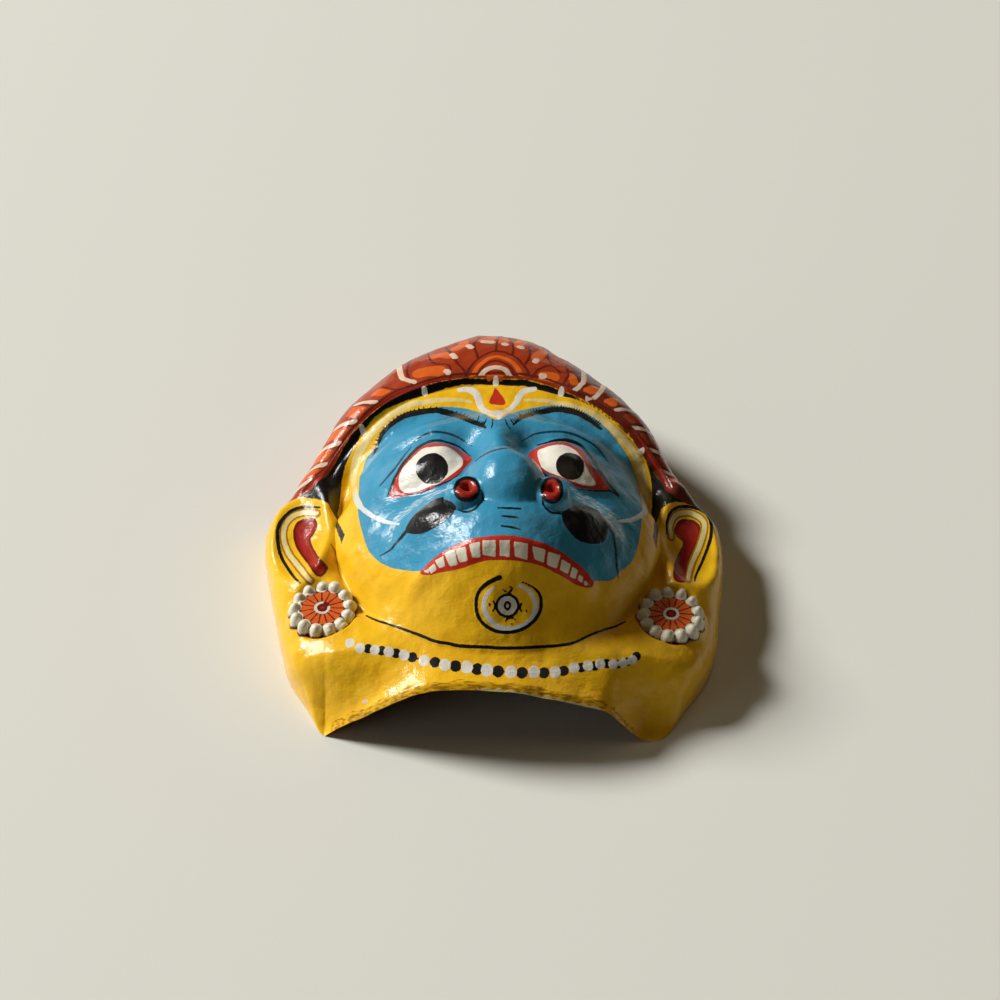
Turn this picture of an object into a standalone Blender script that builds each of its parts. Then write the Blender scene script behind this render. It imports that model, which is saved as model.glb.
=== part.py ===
"""A painted paper mask lying face up: one hollow shell cast over a mould, open behind, with an arch at the neck.

Worked in millimetres with the neck end on y = 0 and the open rim on z = 0, then turned into metres with the origin in
the middle of the box, on the table. The shell is a net of spokes and rings about a point beside the nose. The outer
face is a sum of named swellings; the inner face is the outer one moved in by the wall.
"""

import bmesh
import bpy
import numpy as np
from mathutils import Vector
from mathutils.geometry import delaunay_2d_cdt

# The three main sizes. Every place and swelling of the free form is a share of one of them
MASK_WIDTH = 151.0
MASK_LENGTH = 155.5
MASK_HEIGHT = 61.5

# The open rim on the table, from the neck tip past the shoulder and the ear to the top of the crown, as shares of
# the width and the length
RIM_RIGHT = [(0.32781, 0.0), (0.35232, 0.00643), (0.37219, 0.02572), (0.40066, 0.07074), (0.44371, 0.13505),
             (0.4702, 0.20579), (0.49007, 0.34727), (0.49669, 0.4373), (0.48675, 0.50161), (0.45033, 0.55305),
             (0.40397, 0.61093), (0.34106, 0.7299), (0.24503, 0.84566), (0.11589, 0.95177), (0.0596, 0.98585),
             (0.0, 1.0)]
RIM_LEFT = [(-0.34106, 0.0), (-0.35364, 0.01158), (-0.38079, 0.06109), (-0.42384, 0.12862), (-0.44702, 0.19936),
            (-0.48344, 0.34727), (-0.50331, 0.4373), (-0.49669, 0.50161), (-0.45695, 0.55949),
            (-0.42053, 0.62701), (-0.34768, 0.76527), (-0.23841, 0.89389), (-0.11921, 0.96977),
            (-0.0596, 0.99293), (0.0, 1.0)]
# The arch over the neck: distance from the middle as a share of the width, height of the outer edge of the height
NECK_ARCH = [(-0.34106, 0.0), (-0.32318, 0.0439), (-0.28675, 0.11382), (-0.23179, 0.21138), (-0.18212, 0.30081),
             (-0.13576, 0.36585), (-0.07947, 0.39187), (0.0, 0.39512), (0.06623, 0.37236), (0.13245, 0.32846),
             (0.18543, 0.2878), (0.22185, 0.25691), (0.24371, 0.21789), (0.26821, 0.13333), (0.2947, 0.05528),
             (0.31126, 0.01626), (0.32781, 0.0)]
NECK_SLOPE = 0.10932 * MASK_LENGTH
NECK_FADE_Y = 0.23151 * MASK_LENGTH
HUB_X = 0.01325 * MASK_WIDTH
HUB_Y = 0.39871 * MASK_LENGTH

# Sizes of their own, whatever the mask's: the wall, the round details and the blends between forms
WALL = 2.4
WING_RADIUS = 3.9
WING_THICK = 2.6
NOSTRIL_RADIUS = 3.6
NOSTRIL_DEPTH = 1.2
NOSTRIL_LIP = 2.0
RING_RADIUS = 8.7
RING_THICK = 3.0
KNOB_RADIUS = 2.25
KNOB_RISE = 4.4
KNOBS = 13
KNOB_TURN = 0.2
SEAT_BORDER = 3.4
ROLL_RISE = 1.5
ROLL_RUN = 2.4
LIP_WIDTH = 3.0
BLEND = 2.4
CHIN_BLEND = 8.0
NOSE_BLEND = 2.0
EDGE_POWER = 5.0

PANEL_HEIGHT = 0.39837 * MASK_HEIGHT
PANEL_FALL = 0.07317 * MASK_HEIGHT
PANEL_HALF_WIDTH = 0.46358 * MASK_WIDTH
CROWN_RISE = 0.22764 * MASK_HEIGHT
CROWN_FOOT_Y = 0.48875 * MASK_LENGTH
CROWN_RUN = 0.25723 * MASK_LENGTH
CROWN_BAND = 0.05528 * MASK_HEIGHT
CROWN_BAND_Y = 0.42444 * MASK_LENGTH
CROWN_HALF_WIDTH = 0.40397 * MASK_WIDTH
CROWN_HALF_LENGTH = 0.34084 * MASK_LENGTH
CROWN_START_Y = 0.54019 * MASK_LENGTH
CROWN_START_RUN = 0.04502 * MASK_LENGTH

FACE_MIDDLE_Y = 0.42444 * MASK_LENGTH
FACE_HALF_WIDTH = 0.34437 * MASK_WIDTH
FACE_BELOW = 0.34727 * MASK_LENGTH
FACE_ABOVE = 0.38585 * MASK_LENGTH
FACE_FOOT = 0.34146 * MASK_HEIGHT
FACE_RISE = 0.4065 * MASK_HEIGHT
VALLEY_DEPTH = 0.05203 * MASK_HEIGHT
VALLEY_X = 0.19868 * MASK_WIDTH
VALLEY_LOW_Y = 0.15434 * MASK_LENGTH
VALLEY_TOP_Y = 0.64309 * MASK_LENGTH
MUZZLE_Y = 0.25723 * MASK_LENGTH
MUZZLE_HALF_WIDTH = 0.29139 * MASK_WIDTH
MUZZLE_HALF_LENGTH = 0.23151 * MASK_LENGTH
MUZZLE_RISE = 0.19512 * MASK_HEIGHT
MUZZLE_SHIFT = 0.03311 * MASK_WIDTH
LEAN_Y = 0.30868 * MASK_LENGTH
CHIN_TOP_Y = 0.29582 * MASK_LENGTH
CHIN_POWER = 0.3
BRIDGE_Y = 0.52733 * MASK_LENGTH
BRIDGE_HALF_WIDTH = 0.03709 * MASK_WIDTH
BRIDGE_HALF_LENGTH = 0.09003 * MASK_LENGTH
BRIDGE_RISE = 0.0748 * MASK_HEIGHT

NOSE_Y = 0.39228 * MASK_LENGTH
NOSE_HALF_WIDTH = 0.09669 * MASK_WIDTH
NOSE_HALF_LENGTH = 0.10932 * MASK_LENGTH
NOSE_FOOT = 0.65041 * MASK_HEIGHT
NOSE_RISE = MASK_HEIGHT - NOSE_FOOT
WING_X = 0.08675 * MASK_WIDTH
WING_Y = 0.3537 * MASK_LENGTH
WING_TOP = 0.90732 * MASK_HEIGHT
WING_RISE = 0.07317 * MASK_HEIGHT
EYE_X = 0.14238 * MASK_WIDTH
EYE_Y = 0.48875 * MASK_LENGTH
EYE_HALF_WIDTH = 0.11921 * MASK_WIDTH
EYE_HALF_LENGTH = 0.0836 * MASK_LENGTH
EYE_RISE = 0.0748 * MASK_HEIGHT
SOCKET_X = 0.07616 * MASK_WIDTH
SOCKET_Y = 0.52733 * MASK_LENGTH
SOCKET_DEPTH = 0.04228 * MASK_HEIGHT
BROW_X = 0.1457 * MASK_WIDTH
BROW_Y = 0.60129 * MASK_LENGTH
BROW_HALF_WIDTH = 0.13907 * MASK_WIDTH
BROW_HALF_LENGTH = 0.0418 * MASK_LENGTH
BROW_RISE = 0.05528 * MASK_HEIGHT
CHEEK_X = 0.17881 * MASK_WIDTH
CHEEK_Y = 0.33441 * MASK_LENGTH
CHEEK_RISE = 0.02927 * MASK_HEIGHT
LIP_Y = 0.22701 * MASK_LENGTH
LIP_DROP = 0.02058 * MASK_LENGTH
LIP_HALF_WIDTH = 0.2053 * MASK_WIDTH
LIP_RISE = 0.02276 * MASK_HEIGHT

EAR_X = 0.42053 * MASK_WIDTH
EAR_Y = 0.42444 * MASK_LENGTH
EAR_HALF_WIDTH = 0.06954 * MASK_WIDTH
EAR_HALF_LENGTH = 0.14148 * MASK_LENGTH
EAR_RIDGE = 0.05528 * MASK_HEIGHT
EAR_CUP = 0.03902 * MASK_HEIGHT
EAR_FOOT_Y = 0.21865 * MASK_LENGTH
RING_X = 0.36291 * MASK_WIDTH
RING_Y = 0.21736 * MASK_LENGTH
RING_SHIFT = 0.00795 * MASK_WIDTH
RING_SEAT = 0.30244 * MASK_HEIGHT

# The net of the faceted solid
NECK_SPOKES = 26
RIM_SPOKES = 84
OUTER_SPACING = 2.8
INNER_SPACING = 6.0


def clip01(v):
    return np.clip(v, 0.0, 1.0)


def ease(v):
    """0 below 0, 1 above 1, an S between."""
    v = clip01(v)
    return v * v * (3.0 - 2.0 * v)


def smooth_max(a, b, reach):
    """The larger of two heights, the corner between them rounded over `reach`."""
    h = clip01(0.5 + 0.5 * (a - b) / reach)
    return b + (a - b) * h + reach * h * (1.0 - h)


def mound(x, y, cx, cy, rx, ry, height, turn=0.0):
    """A soft swelling: height times a bell of half sizes rx, ry about (cx, cy)."""
    c, s = np.cos(turn), np.sin(turn)
    u = ((x - cx) * c + (y - cy) * s) / rx
    v = (-(x - cx) * s + (y - cy) * c) / ry
    return height * np.exp(-(u * u + v * v))


def dome(x, y, cx, cy, rx, ry, height, power):
    """A swelling that ends at an ellipse."""
    return height * clip01(1.0 - ((x - cx) / rx) ** 2 - ((y - cy) / ry) ** 2) ** power


def spline(points, count, rise=MASK_LENGTH):
    """Points along a Catmull-Rom curve through the given shares of the width and of the length or the height."""
    p = np.array(points, float) * (MASK_WIDTH, rise)
    q = np.vstack([2 * p[0] - p[1], p, 2 * p[-1] - p[-2]])
    t = np.linspace(0, len(p) - 1, count)
    i = np.minimum(t.astype(int), len(p) - 2)
    u = (t - i)[:, None]
    a, b, c, d = q[i], q[i + 1], q[i + 2], q[i + 3]
    return 0.5 * (2 * b + (c - a) * u + (2 * a - 5 * b + 4 * c - d) * u**2 + (3 * b - a - 3 * c + d) * u**3)


def rim_table():
    """Angle about the hub against distance to the rim, from the left neck tip along the neck and round."""
    right = spline(RIM_RIGHT, 400)
    left = spline(RIM_LEFT, 400)[::-1]
    neck = np.stack([np.linspace(left[-1, 0], right[0, 0], 201), np.zeros(201)], 1)
    loop = np.vstack([neck[:-1], right[:-1], left[:-1]]) - (HUB_X, HUB_Y)
    return np.unwrap(np.arctan2(loop[:, 1], loop[:, 0])), np.hypot(loop[:, 0], loop[:, 1])


RIM_ANGLE, RIM_REACH = rim_table()


def rim_radius(angle):
    """Distance from the hub to the rim at an angle."""
    turn = 2 * np.pi
    return np.interp((angle - RIM_ANGLE[0]) % turn, RIM_ANGLE - RIM_ANGLE[0], RIM_REACH, period=turn)


ARCH_X, ARCH_Z = spline(NECK_ARCH, 161, MASK_HEIGHT).T


def neck_arch(x):
    """Height of the outer edge of the neck arch."""
    return np.interp(x, ARCH_X, ARCH_Z)


def muzzle_x(x, y):
    """Distance from the middle of the face, which leans to the right at the muzzle."""
    lean = np.exp(-(((y - LEAN_Y) / (0.75 * MUZZLE_HALF_LENGTH)) ** 2))
    return x - MUZZLE_SHIFT * lean * np.exp(-((np.abs(x) / (1.05 * MUZZLE_HALF_WIDTH)) ** 4))


def earring(x, y, side):
    """A raised disc with a ring of round knobs along its edge."""
    dx, dy = x - side * RING_X - RING_SHIFT, y - RING_Y
    d = np.hypot(dx, dy)
    disc = RING_THICK * clip01((RING_RADIUS - d) / 1.2) ** 0.5
    pitch = 2 * np.pi / KNOBS
    k = np.round((np.arctan2(dy, dx) - KNOB_TURN) / pitch) * pitch + KNOB_TURN
    off = np.hypot(dx - RING_RADIUS * np.cos(k), dy - RING_RADIUS * np.sin(k))
    return np.maximum(disc, KNOB_RISE * np.sqrt(clip01(1.0 - (off / KNOB_RADIUS) ** 2)))


def valley(ax, y, q):
    """1 in the crease round the sides of the face, 0 away from it and above and below."""
    low = ease((y - VALLEY_LOW_Y) / (0.42 * VALLEY_LOW_Y)) * ease((VALLEY_TOP_Y - y) / (0.14 * VALLEY_TOP_Y))
    return np.exp(-(((q - 1.02) / 0.06) ** 2)) * ease((ax - VALLEY_X) / (0.4 * VALLEY_X)) * low


def outer_height(x, y, relief):
    """Height of the painted face; relief False leaves the small carving out."""
    y = np.maximum(y, 0.0)
    xm = muzzle_x(x, y)
    am, ax = np.abs(xm), np.abs(x)
    angle = np.arctan2(y - HUB_Y, x - HUB_X)
    s = np.hypot(x - HUB_X, y - HUB_Y) / rim_radius(angle)
    panel = PANEL_HEIGHT + CROWN_RISE * ease((y - CROWN_FOOT_Y) / CROWN_RUN)
    panel = panel - PANEL_FALL * (ax / PANEL_HALF_WIDTH) ** 2
    half = np.where(y < FACE_MIDDLE_Y, FACE_BELOW, FACE_ABOVE)
    q = np.sqrt((xm / FACE_HALF_WIDTH) ** 2 + ((y - FACE_MIDDLE_Y) / half) ** 2)
    chin = ease((CHIN_TOP_Y - y) / (0.652 * CHIN_TOP_Y))
    face = FACE_FOOT + FACE_RISE * clip01(1.0 - q**2.2) ** (0.62 + CHIN_POWER * chin)
    z = smooth_max(face, panel, BLEND + CHIN_BLEND * chin)
    z = z + dome(xm, y, 0.0, MUZZLE_Y, MUZZLE_HALF_WIDTH, MUZZLE_HALF_LENGTH, MUZZLE_RISE, 2.0)
    z = z + mound(xm, y, 0.0, BRIDGE_Y, BRIDGE_HALF_WIDTH, BRIDGE_HALF_LENGTH, BRIDGE_RISE)
    round_nose = clip01(1.0 - (xm / NOSE_HALF_WIDTH) ** 2 - ((y - NOSE_Y) / NOSE_HALF_LENGTH) ** 2)
    nose = np.where(round_nose > 0, NOSE_FOOT + NOSE_RISE * np.sqrt(round_nose), 0.0)
    z = smooth_max(z, nose, NOSE_BLEND)
    if relief:
        z = z - VALLEY_DEPTH * valley(ax, y, q)
        z = z + mound(am, y, BROW_X, BROW_Y, BROW_HALF_WIDTH, BROW_HALF_LENGTH, BROW_RISE, -0.12)
        z = z + dome(am, y, EYE_X, EYE_Y, EYE_HALF_WIDTH, EYE_HALF_LENGTH, EYE_RISE, 1.5)
        z = z - mound(am, y, SOCKET_X, SOCKET_Y, 0.28 * EYE_HALF_WIDTH, 0.69 * EYE_HALF_LENGTH, SOCKET_DEPTH)
        z = z + mound(am, y, CHEEK_X, CHEEK_Y, 0.5 * EYE_HALF_WIDTH, 0.385 * EYE_HALF_LENGTH, CHEEK_RISE, 0.45)
        lip = (y - LIP_Y + LIP_DROP * (xm / CHEEK_X) ** 2) / LIP_WIDTH
        z = z + LIP_RISE * np.exp(-(lip**2)) * ease((LIP_HALF_WIDTH - am) / (0.16 * LIP_HALF_WIDTH))
        wing = np.hypot(am - WING_X, y - WING_Y)
        ring = WING_TOP - WING_RISE + WING_RISE * np.sqrt(clip01(1.0 - ((wing - WING_RADIUS) / WING_THICK) ** 2))
        z = np.where(wing < WING_RADIUS + WING_THICK, smooth_max(z, ring, 1.5), z)
        z = z - NOSTRIL_DEPTH * ease((NOSTRIL_RADIUS - wing) / NOSTRIL_LIP)
        e = np.sqrt(((ax - EAR_X) / EAR_HALF_WIDTH) ** 2 + ((y - EAR_Y) / EAR_HALF_LENGTH) ** 2)
        z = z + EAR_RIDGE * np.exp(-(((e - 0.95) / 0.24) ** 2)) * ease((y - EAR_FOOT_Y) / (0.364 * EAR_HALF_LENGTH))
        z = z - EAR_CUP * np.exp(-((e / 0.55) ** 2))
    crown = np.sqrt((x / CROWN_HALF_WIDTH) ** 2 + ((y - CROWN_BAND_Y) / CROWN_HALF_LENGTH) ** 2)
    z = z + CROWN_BAND * ease((crown - 1.0) / 0.045) * ease((y - CROWN_START_Y) / CROWN_START_RUN)
    arch = neck_arch(x)
    arch = arch + ROLL_RISE * clip01(arch / (8.0 * ROLL_RISE)) * (1.0 - (1.0 - clip01(y / ROLL_RUN)) ** 2)
    z = arch + (z - arch) * ease(y / NECK_SLOPE)
    edge = clip01(1.0 - s**EDGE_POWER) ** (1.0 / EDGE_POWER)
    z = arch * ease((NECK_FADE_Y - y) / (0.722 * NECK_FADE_Y)) * (1.0 - edge) + z * edge
    if relief:
        away = np.hypot(ax - RING_X - np.sign(x) * RING_SHIFT, y - RING_Y)
        z = z + (RING_SEAT - z) * ease((RING_RADIUS + SEAT_BORDER - away) / (0.765 * SEAT_BORDER))
        z = z + np.maximum(earring(x, y, 1.0), earring(x, y, -1.0))
    return z


def inner_height(x, y):
    """Height of the bare inside: a ball of the wall's radius rolled under the outer face touches it nowhere closer."""
    z = np.full(np.shape(x), 1e3)
    for reach in (0.0, 0.5, 0.8, 0.97):
        for k in range(1 if reach == 0.0 else 12):
            a = k * np.pi / 6.0
            u, v = x + WALL * reach * np.cos(a), y + WALL * reach * np.sin(a)
            lift = WALL * np.sqrt(1.0 - reach * reach)
            z = np.minimum(z, np.minimum(outer_height(u, v, True), outer_height(u, v, False)) - lift)
    return z


def spoke_angles():
    """Angles of the spokes that carry the rim, with one on each neck tip."""
    tips = [np.arctan2(-HUB_Y, tip[0] * MASK_WIDTH - HUB_X) for tip in (RIM_LEFT[0], RIM_RIGHT[0])]
    neck = np.linspace(tips[0], tips[1], NECK_SPOKES, endpoint=False)
    rest = np.linspace(tips[1], tips[0] + 2 * np.pi, RIM_SPOKES, endpoint=False)
    return np.concatenate([neck, rest])


def rim_loop(angles, inward):
    """Plan of the rim, moved inward along the spokes so that it runs about `inward` inside the outer edge."""
    reach = rim_radius(angles)
    neck = np.arange(angles.size) < NECK_SPOKES
    reach = np.where(neck, -HUB_Y / np.sin(angles), reach)
    step = 1e-3
    slope = (rim_radius(angles + step) - rim_radius(angles - step)) / (2 * step) / reach
    reach = reach - inward * np.sqrt(1.0 + np.clip(slope, -1.2, 1.2) ** 2)
    x, y = HUB_X + reach * np.cos(angles), HUB_Y + reach * np.sin(angles)
    return np.stack([x, np.where(neck & (inward == 0.0), 0.0, y)], 1), neck


def ellipse_row(cx, cy, rx, ry, count, start=0.0, stop=2 * np.pi):
    t = np.linspace(start, stop, count, endpoint=stop - start < 6.28)
    return np.stack([cx + rx * np.cos(t), cy + ry * np.sin(t)], 1)


def carving_rows():
    """Rows of points laid along the carving, so that the net has its edges where the carving has them."""
    rows = []
    for side in (-1.0, 1.0):
        for k in range(KNOBS):
            a = KNOB_TURN + 2 * np.pi * k / KNOBS
            kx = side * RING_X + RING_SHIFT + RING_RADIUS * np.cos(a)
            ky = RING_Y + RING_RADIUS * np.sin(a)
            rows.append(np.array([(kx, ky)]))
            for share, count in ((0.56, 6), (0.9, 9)):
                r = share * KNOB_RADIUS
                rows.append(ellipse_row(kx, ky, r, r, count, a, a + 2 * np.pi))
        for r, count in ((RING_RADIUS * 0.65, 26), (RING_RADIUS * 0.34, 14), (RING_RADIUS + SEAT_BORDER, 39)):
            rows.append(ellipse_row(side * RING_X + RING_SHIFT, RING_Y, r, r, count))
        cx = side * WING_X + MUZZLE_SHIFT * 0.93
        lip = NOSTRIL_RADIUS - NOSTRIL_LIP
        for r, count in ((0.4 * lip, 6), (lip, 14), (NOSTRIL_RADIUS, 18)):
            rows.append(ellipse_row(cx, WING_Y, r, r, count))
        for share, count in ((0.25, 18), (0.6, 20), (0.95, 22)):
            r = WING_RADIUS + share * WING_THICK
            rows.append(ellipse_row(cx, WING_Y, r, r, count))
        for k in (0.62, 0.95, 1.3):
            rows.append(ellipse_row(side * EAR_X, EAR_Y, EAR_HALF_WIDTH * k, EAR_HALF_LENGTH * k, 30))
    cx = MUZZLE_SHIFT * 0.79
    for k, count in ((0.8, 30), (0.95, 36), (1.03, 36), (1.15, 34)):
        rows.append(ellipse_row(cx, NOSE_Y, NOSE_HALF_WIDTH * k, NOSE_HALF_LENGTH * k, count))
    for k in (0.985, 1.025, 1.06):
        row = ellipse_row(0.0, CROWN_BAND_Y, CROWN_HALF_WIDTH * k, CROWN_HALF_LENGTH * k, 60, 0.42, np.pi - 0.42)
        rows.append(row)
    for k in (0.965, 1.02, 1.07):
        start, stop = np.pi - 0.35, 2 * np.pi + 0.35
        rows.append(ellipse_row(0.0, FACE_MIDDLE_Y, FACE_HALF_WIDTH * k, FACE_BELOW * k, 70, start, stop))
    return rows


def net_points(spoke_rows, rows, spacing):
    """Rim rows first, then the carving rows and a three-way field between them, no two points too near."""
    points = np.vstack(spoke_rows)
    field = []
    height = spacing * 0.866
    for i, y in enumerate(np.arange(1.5, 1.03 * MASK_LENGTH, height)):
        xs = np.arange(-0.53 * MASK_WIDTH, 0.53 * MASK_WIDTH, spacing) + (0.5 * spacing if i % 2 else 0.0)
        field.append(np.stack([xs, np.full(xs.size, y)], 1))
    for group, gap, share in [(r, 0.26 * spacing, 0.97) for r in rows] + [(np.vstack(field), 0.72 * spacing, 0.84)]:
        a = np.arctan2(group[:, 1] - HUB_Y, group[:, 0] - HUB_X)
        inside = np.hypot(group[:, 0] - HUB_X, group[:, 1] - HUB_Y) < rim_radius(a) * share
        near = np.sqrt(((group[:, None, :] - points[None]) ** 2).sum(2)).min(1)
        points = np.vstack([points, group[inside & (near > gap)]])
    return points


def net_faces(points, loop):
    """Triangles over the points, inside the loop that the given indices make."""
    edges = [(loop[i], loop[(i + 1) % len(loop)]) for i in range(len(loop))]
    out = delaunay_2d_cdt([Vector(p) for p in points], edges, [], 1, 1e-6)
    return np.array([tuple(v) for v in out[0]]), [tuple(f) for f in out[2]], out[3]


def build_mask():
    """One closed body: the outer net, the inner net and the flat strip of rim between them."""
    angles = spoke_angles()
    n = angles.size
    hub = np.array((HUB_X, HUB_Y))
    rim, neck = rim_loop(angles, 0.0)
    rows = [hub + (rim - hub) * s for s in (0.85, 0.895, 0.935, 0.963, 0.983, 0.995, 1.0)]
    points = net_points(rows, carving_rows(), OUTER_SPACING)
    start = 6 * n
    plan, faces, origin = net_faces(points, list(range(start, start + n)))
    z = outer_height(plan[:, 0], plan[:, 1], True)
    on_rim = np.array([any(start <= i < start + n for i in o) for o in origin])
    z[on_rim] = np.where(plan[on_rim, 1] < 1e-6, neck_arch(plan[on_rim, 0]), 0.0)
    verts = np.column_stack([plan, z])
    where = {i: k for k, o in enumerate(origin) for i in o}
    outer_loop = [where[start + j] for j in range(n)]

    rim_in, neck_in = rim_loop(angles, WALL)
    rows = [hub + (rim_in - hub) * s for s in (0.87, 0.94, 0.985, 1.0)]
    points = net_points(rows, [], INNER_SPACING)
    start = 3 * n
    plan, inner_faces, origin = net_faces(points, list(range(start, start + n)))
    z = np.maximum(inner_height(plan[:, 0], plan[:, 1]), 0.05)
    where = {i: k for k, o in enumerate(origin) for i in o}
    inner_loop = [where[start + j] for j in range(n)]
    for j, k in enumerate(inner_loop):
        z[k] = max(z[k], 0.0) if neck_in[j] else 0.0
    base = len(verts)
    verts = np.vstack([verts, np.column_stack([plan, z])])
    faces = faces + [tuple(base + v for v in f[::-1]) for f in inner_faces]
    for j in range(n):
        k = (j + 1) % n
        a, b = outer_loop[j], outer_loop[k]
        c, d = base + inner_loop[j], base + inner_loop[k]
        faces += [(a, c, b), (b, c, d)]
    return verts, faces


def add_body(name, verts, faces, material):
    low, high = verts.min(axis=0), verts.max(axis=0)
    middle = 0.5 * (low + high)
    middle[2] = low[2]
    mesh = bpy.data.meshes.new(name)
    mesh.from_pydata(((verts - middle) * 0.001).tolist(), [], faces)
    bm = bmesh.new()
    bm.from_mesh(mesh)
    bmesh.ops.recalc_face_normals(bm, faces=bm.faces)
    bm.to_mesh(mesh)
    bm.free()
    mesh.shade_smooth()
    mesh.set_sharp_from_angle(angle=np.radians(50.0))
    mesh.materials.append(material)
    body = bpy.data.objects.new(name, mesh)
    bpy.context.scene.collection.objects.link(body)


def varnished_paint(name, colour):
    """Yellow paint under varnish, the ground colour of the mask."""
    paint = bpy.data.materials.new(name)
    paint.use_nodes = True
    shader = paint.node_tree.nodes["Principled BSDF"]
    shader.inputs["Base Color"].default_value = colour
    shader.inputs["Roughness"].default_value = 0.35
    shader.inputs["Metallic"].default_value = 0.0
    return paint


for thing in list(bpy.data.objects):
    bpy.data.objects.remove(thing, do_unlink=True)
add_body("mask", *build_mask(), varnished_paint("yellow varnished paint on paper", (0.78, 0.47, 0.012, 1.0)))
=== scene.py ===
import bpy
import math
import numpy as np
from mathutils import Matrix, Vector


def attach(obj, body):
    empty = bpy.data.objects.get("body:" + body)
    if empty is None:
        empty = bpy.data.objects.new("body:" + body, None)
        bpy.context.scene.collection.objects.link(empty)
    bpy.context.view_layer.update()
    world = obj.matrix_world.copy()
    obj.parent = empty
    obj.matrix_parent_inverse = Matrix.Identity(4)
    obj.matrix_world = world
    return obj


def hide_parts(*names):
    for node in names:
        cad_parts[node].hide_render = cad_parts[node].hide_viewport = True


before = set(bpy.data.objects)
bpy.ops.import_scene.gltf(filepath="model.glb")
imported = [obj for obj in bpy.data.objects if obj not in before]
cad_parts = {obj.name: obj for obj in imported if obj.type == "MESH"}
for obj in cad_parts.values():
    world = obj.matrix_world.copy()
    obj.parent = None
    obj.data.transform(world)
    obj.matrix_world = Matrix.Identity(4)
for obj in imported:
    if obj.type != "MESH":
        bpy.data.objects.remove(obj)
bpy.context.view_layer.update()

# The mask body. The real one is a half shell of pasted paper, laid wet over a clay mould in layers, dried and
# taken off, so the face, the ears, the earrings and the crown band are one wall 2.4 mm thick, open behind.
# Sizes are in millimetres with the neck end on y = 0 and the open rim on z = 0, as in the part's source.

RIM_RIGHT = [(49.5, 0.0), (53.2, 1.0), (56.2, 4.0), (60.5, 11.0), (67.0, 21.0), (71.0, 32.0),
             (74.0, 54.0), (75.0, 68.0), (73.5, 78.0), (68.0, 86.0), (61.0, 95.0), (51.5, 113.5),
             (37.0, 131.5), (17.5, 148.0), (9.0, 153.3), (0.0, 155.5)]
RIM_LEFT = [(-51.5, 0.0), (-53.4, 1.8), (-57.5, 9.5), (-64.0, 20.0), (-67.5, 31.0), (-73.0, 54.0),
            (-76.0, 68.0), (-75.0, 78.0), (-69.0, 87.0), (-63.5, 97.5), (-52.5, 119.0), (-36.0, 139.0),
            (-18.0, 150.8), (-9.0, 154.4), (0.0, 155.5)]
NECK_ARCH = [(-51.5, 0.0), (-48.8, 2.7), (-43.3, 7.0), (-35.0, 13.0), (-27.5, 18.5), (-20.5, 22.5),
             (-12.0, 24.1), (0.0, 24.3), (10.0, 22.9), (20.0, 20.2), (28.0, 17.7), (33.5, 15.8),
             (36.8, 13.4), (40.5, 8.2), (44.5, 3.4), (47.0, 1.0), (49.5, 0.0)]
NECK_SLOPE = 17.0
HUB = (2.0, 62.0)
MIDDLE = (-0.551, 77.708)
WALL = 2.4
FACE_MIDDLE_Y = 66.0
FACE_HALF_WIDTH = 52.0
FACE_BELOW = 54.0
FACE_ABOVE = 60.0
VALLEY = 1.02
RING_X = 54.8
RING_Y = 33.8
RING_SHIFT = 1.2
RING_RADIUS = 8.7
KNOB_RADIUS = 2.25
KNOBS = 13
KNOB_TURN = 0.2
EAR_X = 63.5
EAR_Y = 66.0


def clip01(v):
    return np.clip(v, 0.0, 1.0)


def ease(v):
    """0 below 0, 1 above 1, an S between."""
    v = clip01(v)
    return v * v * (3.0 - 2.0 * v)


def smooth_max(a, b, reach):
    """The larger of two heights, the corner between them rounded over `reach`."""
    h = clip01(0.5 + 0.5 * (a - b) / reach)
    return b + (a - b) * h + reach * h * (1.0 - h)


def mound(x, y, cx, cy, rx, ry, height, turn=0.0):
    """A soft swelling: height times a bell of half sizes rx, ry about (cx, cy), its long side turned."""
    c, s = math.cos(turn), math.sin(turn)
    u = ((x - cx) * c + (y - cy) * s) / rx
    v = (-(x - cx) * s + (y - cy) * c) / ry
    return height * np.exp(-(u * u + v * v))


def dome(x, y, cx, cy, rx, ry, height, power):
    """A swelling that ends at an ellipse: height times one less the squared reach, to a power."""
    return height * clip01(1.0 - ((x - cx) / rx) ** 2 - ((y - cy) / ry) ** 2) ** power


def spline(points, count):
    """Points along a Catmull-Rom curve through the given ones."""
    p = np.array(points, float)
    q = np.vstack([2 * p[0] - p[1], p, 2 * p[-1] - p[-2]])
    t = np.linspace(0, len(p) - 1, count)
    i = np.minimum(t.astype(int), len(p) - 2)
    u = (t - i)[:, None]
    a, b, c, d = q[i], q[i + 1], q[i + 2], q[i + 3]
    return 0.5 * (2 * b + (c - a) * u + (2 * a - 5 * b + 4 * c - d) * u**2 + (3 * b - a - 3 * c + d) * u**3)


def rim_table():
    """Angle about the hub against distance to the rim, from the left neck tip along the neck and round."""
    right = spline(RIM_RIGHT, 600)
    left = spline(RIM_LEFT, 600)[::-1]
    neck = np.stack([np.linspace(RIM_LEFT[0][0], RIM_RIGHT[0][0], 301), np.zeros(301)], 1)
    loop = np.vstack([neck[:-1], right[:-1], left[:-1]]) - HUB
    return np.unwrap(np.arctan2(loop[:, 1], loop[:, 0])), np.hypot(loop[:, 0], loop[:, 1])


rim_angle, rim_reach = rim_table()
neck_tips = (rim_angle[0], rim_angle[300])


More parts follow.
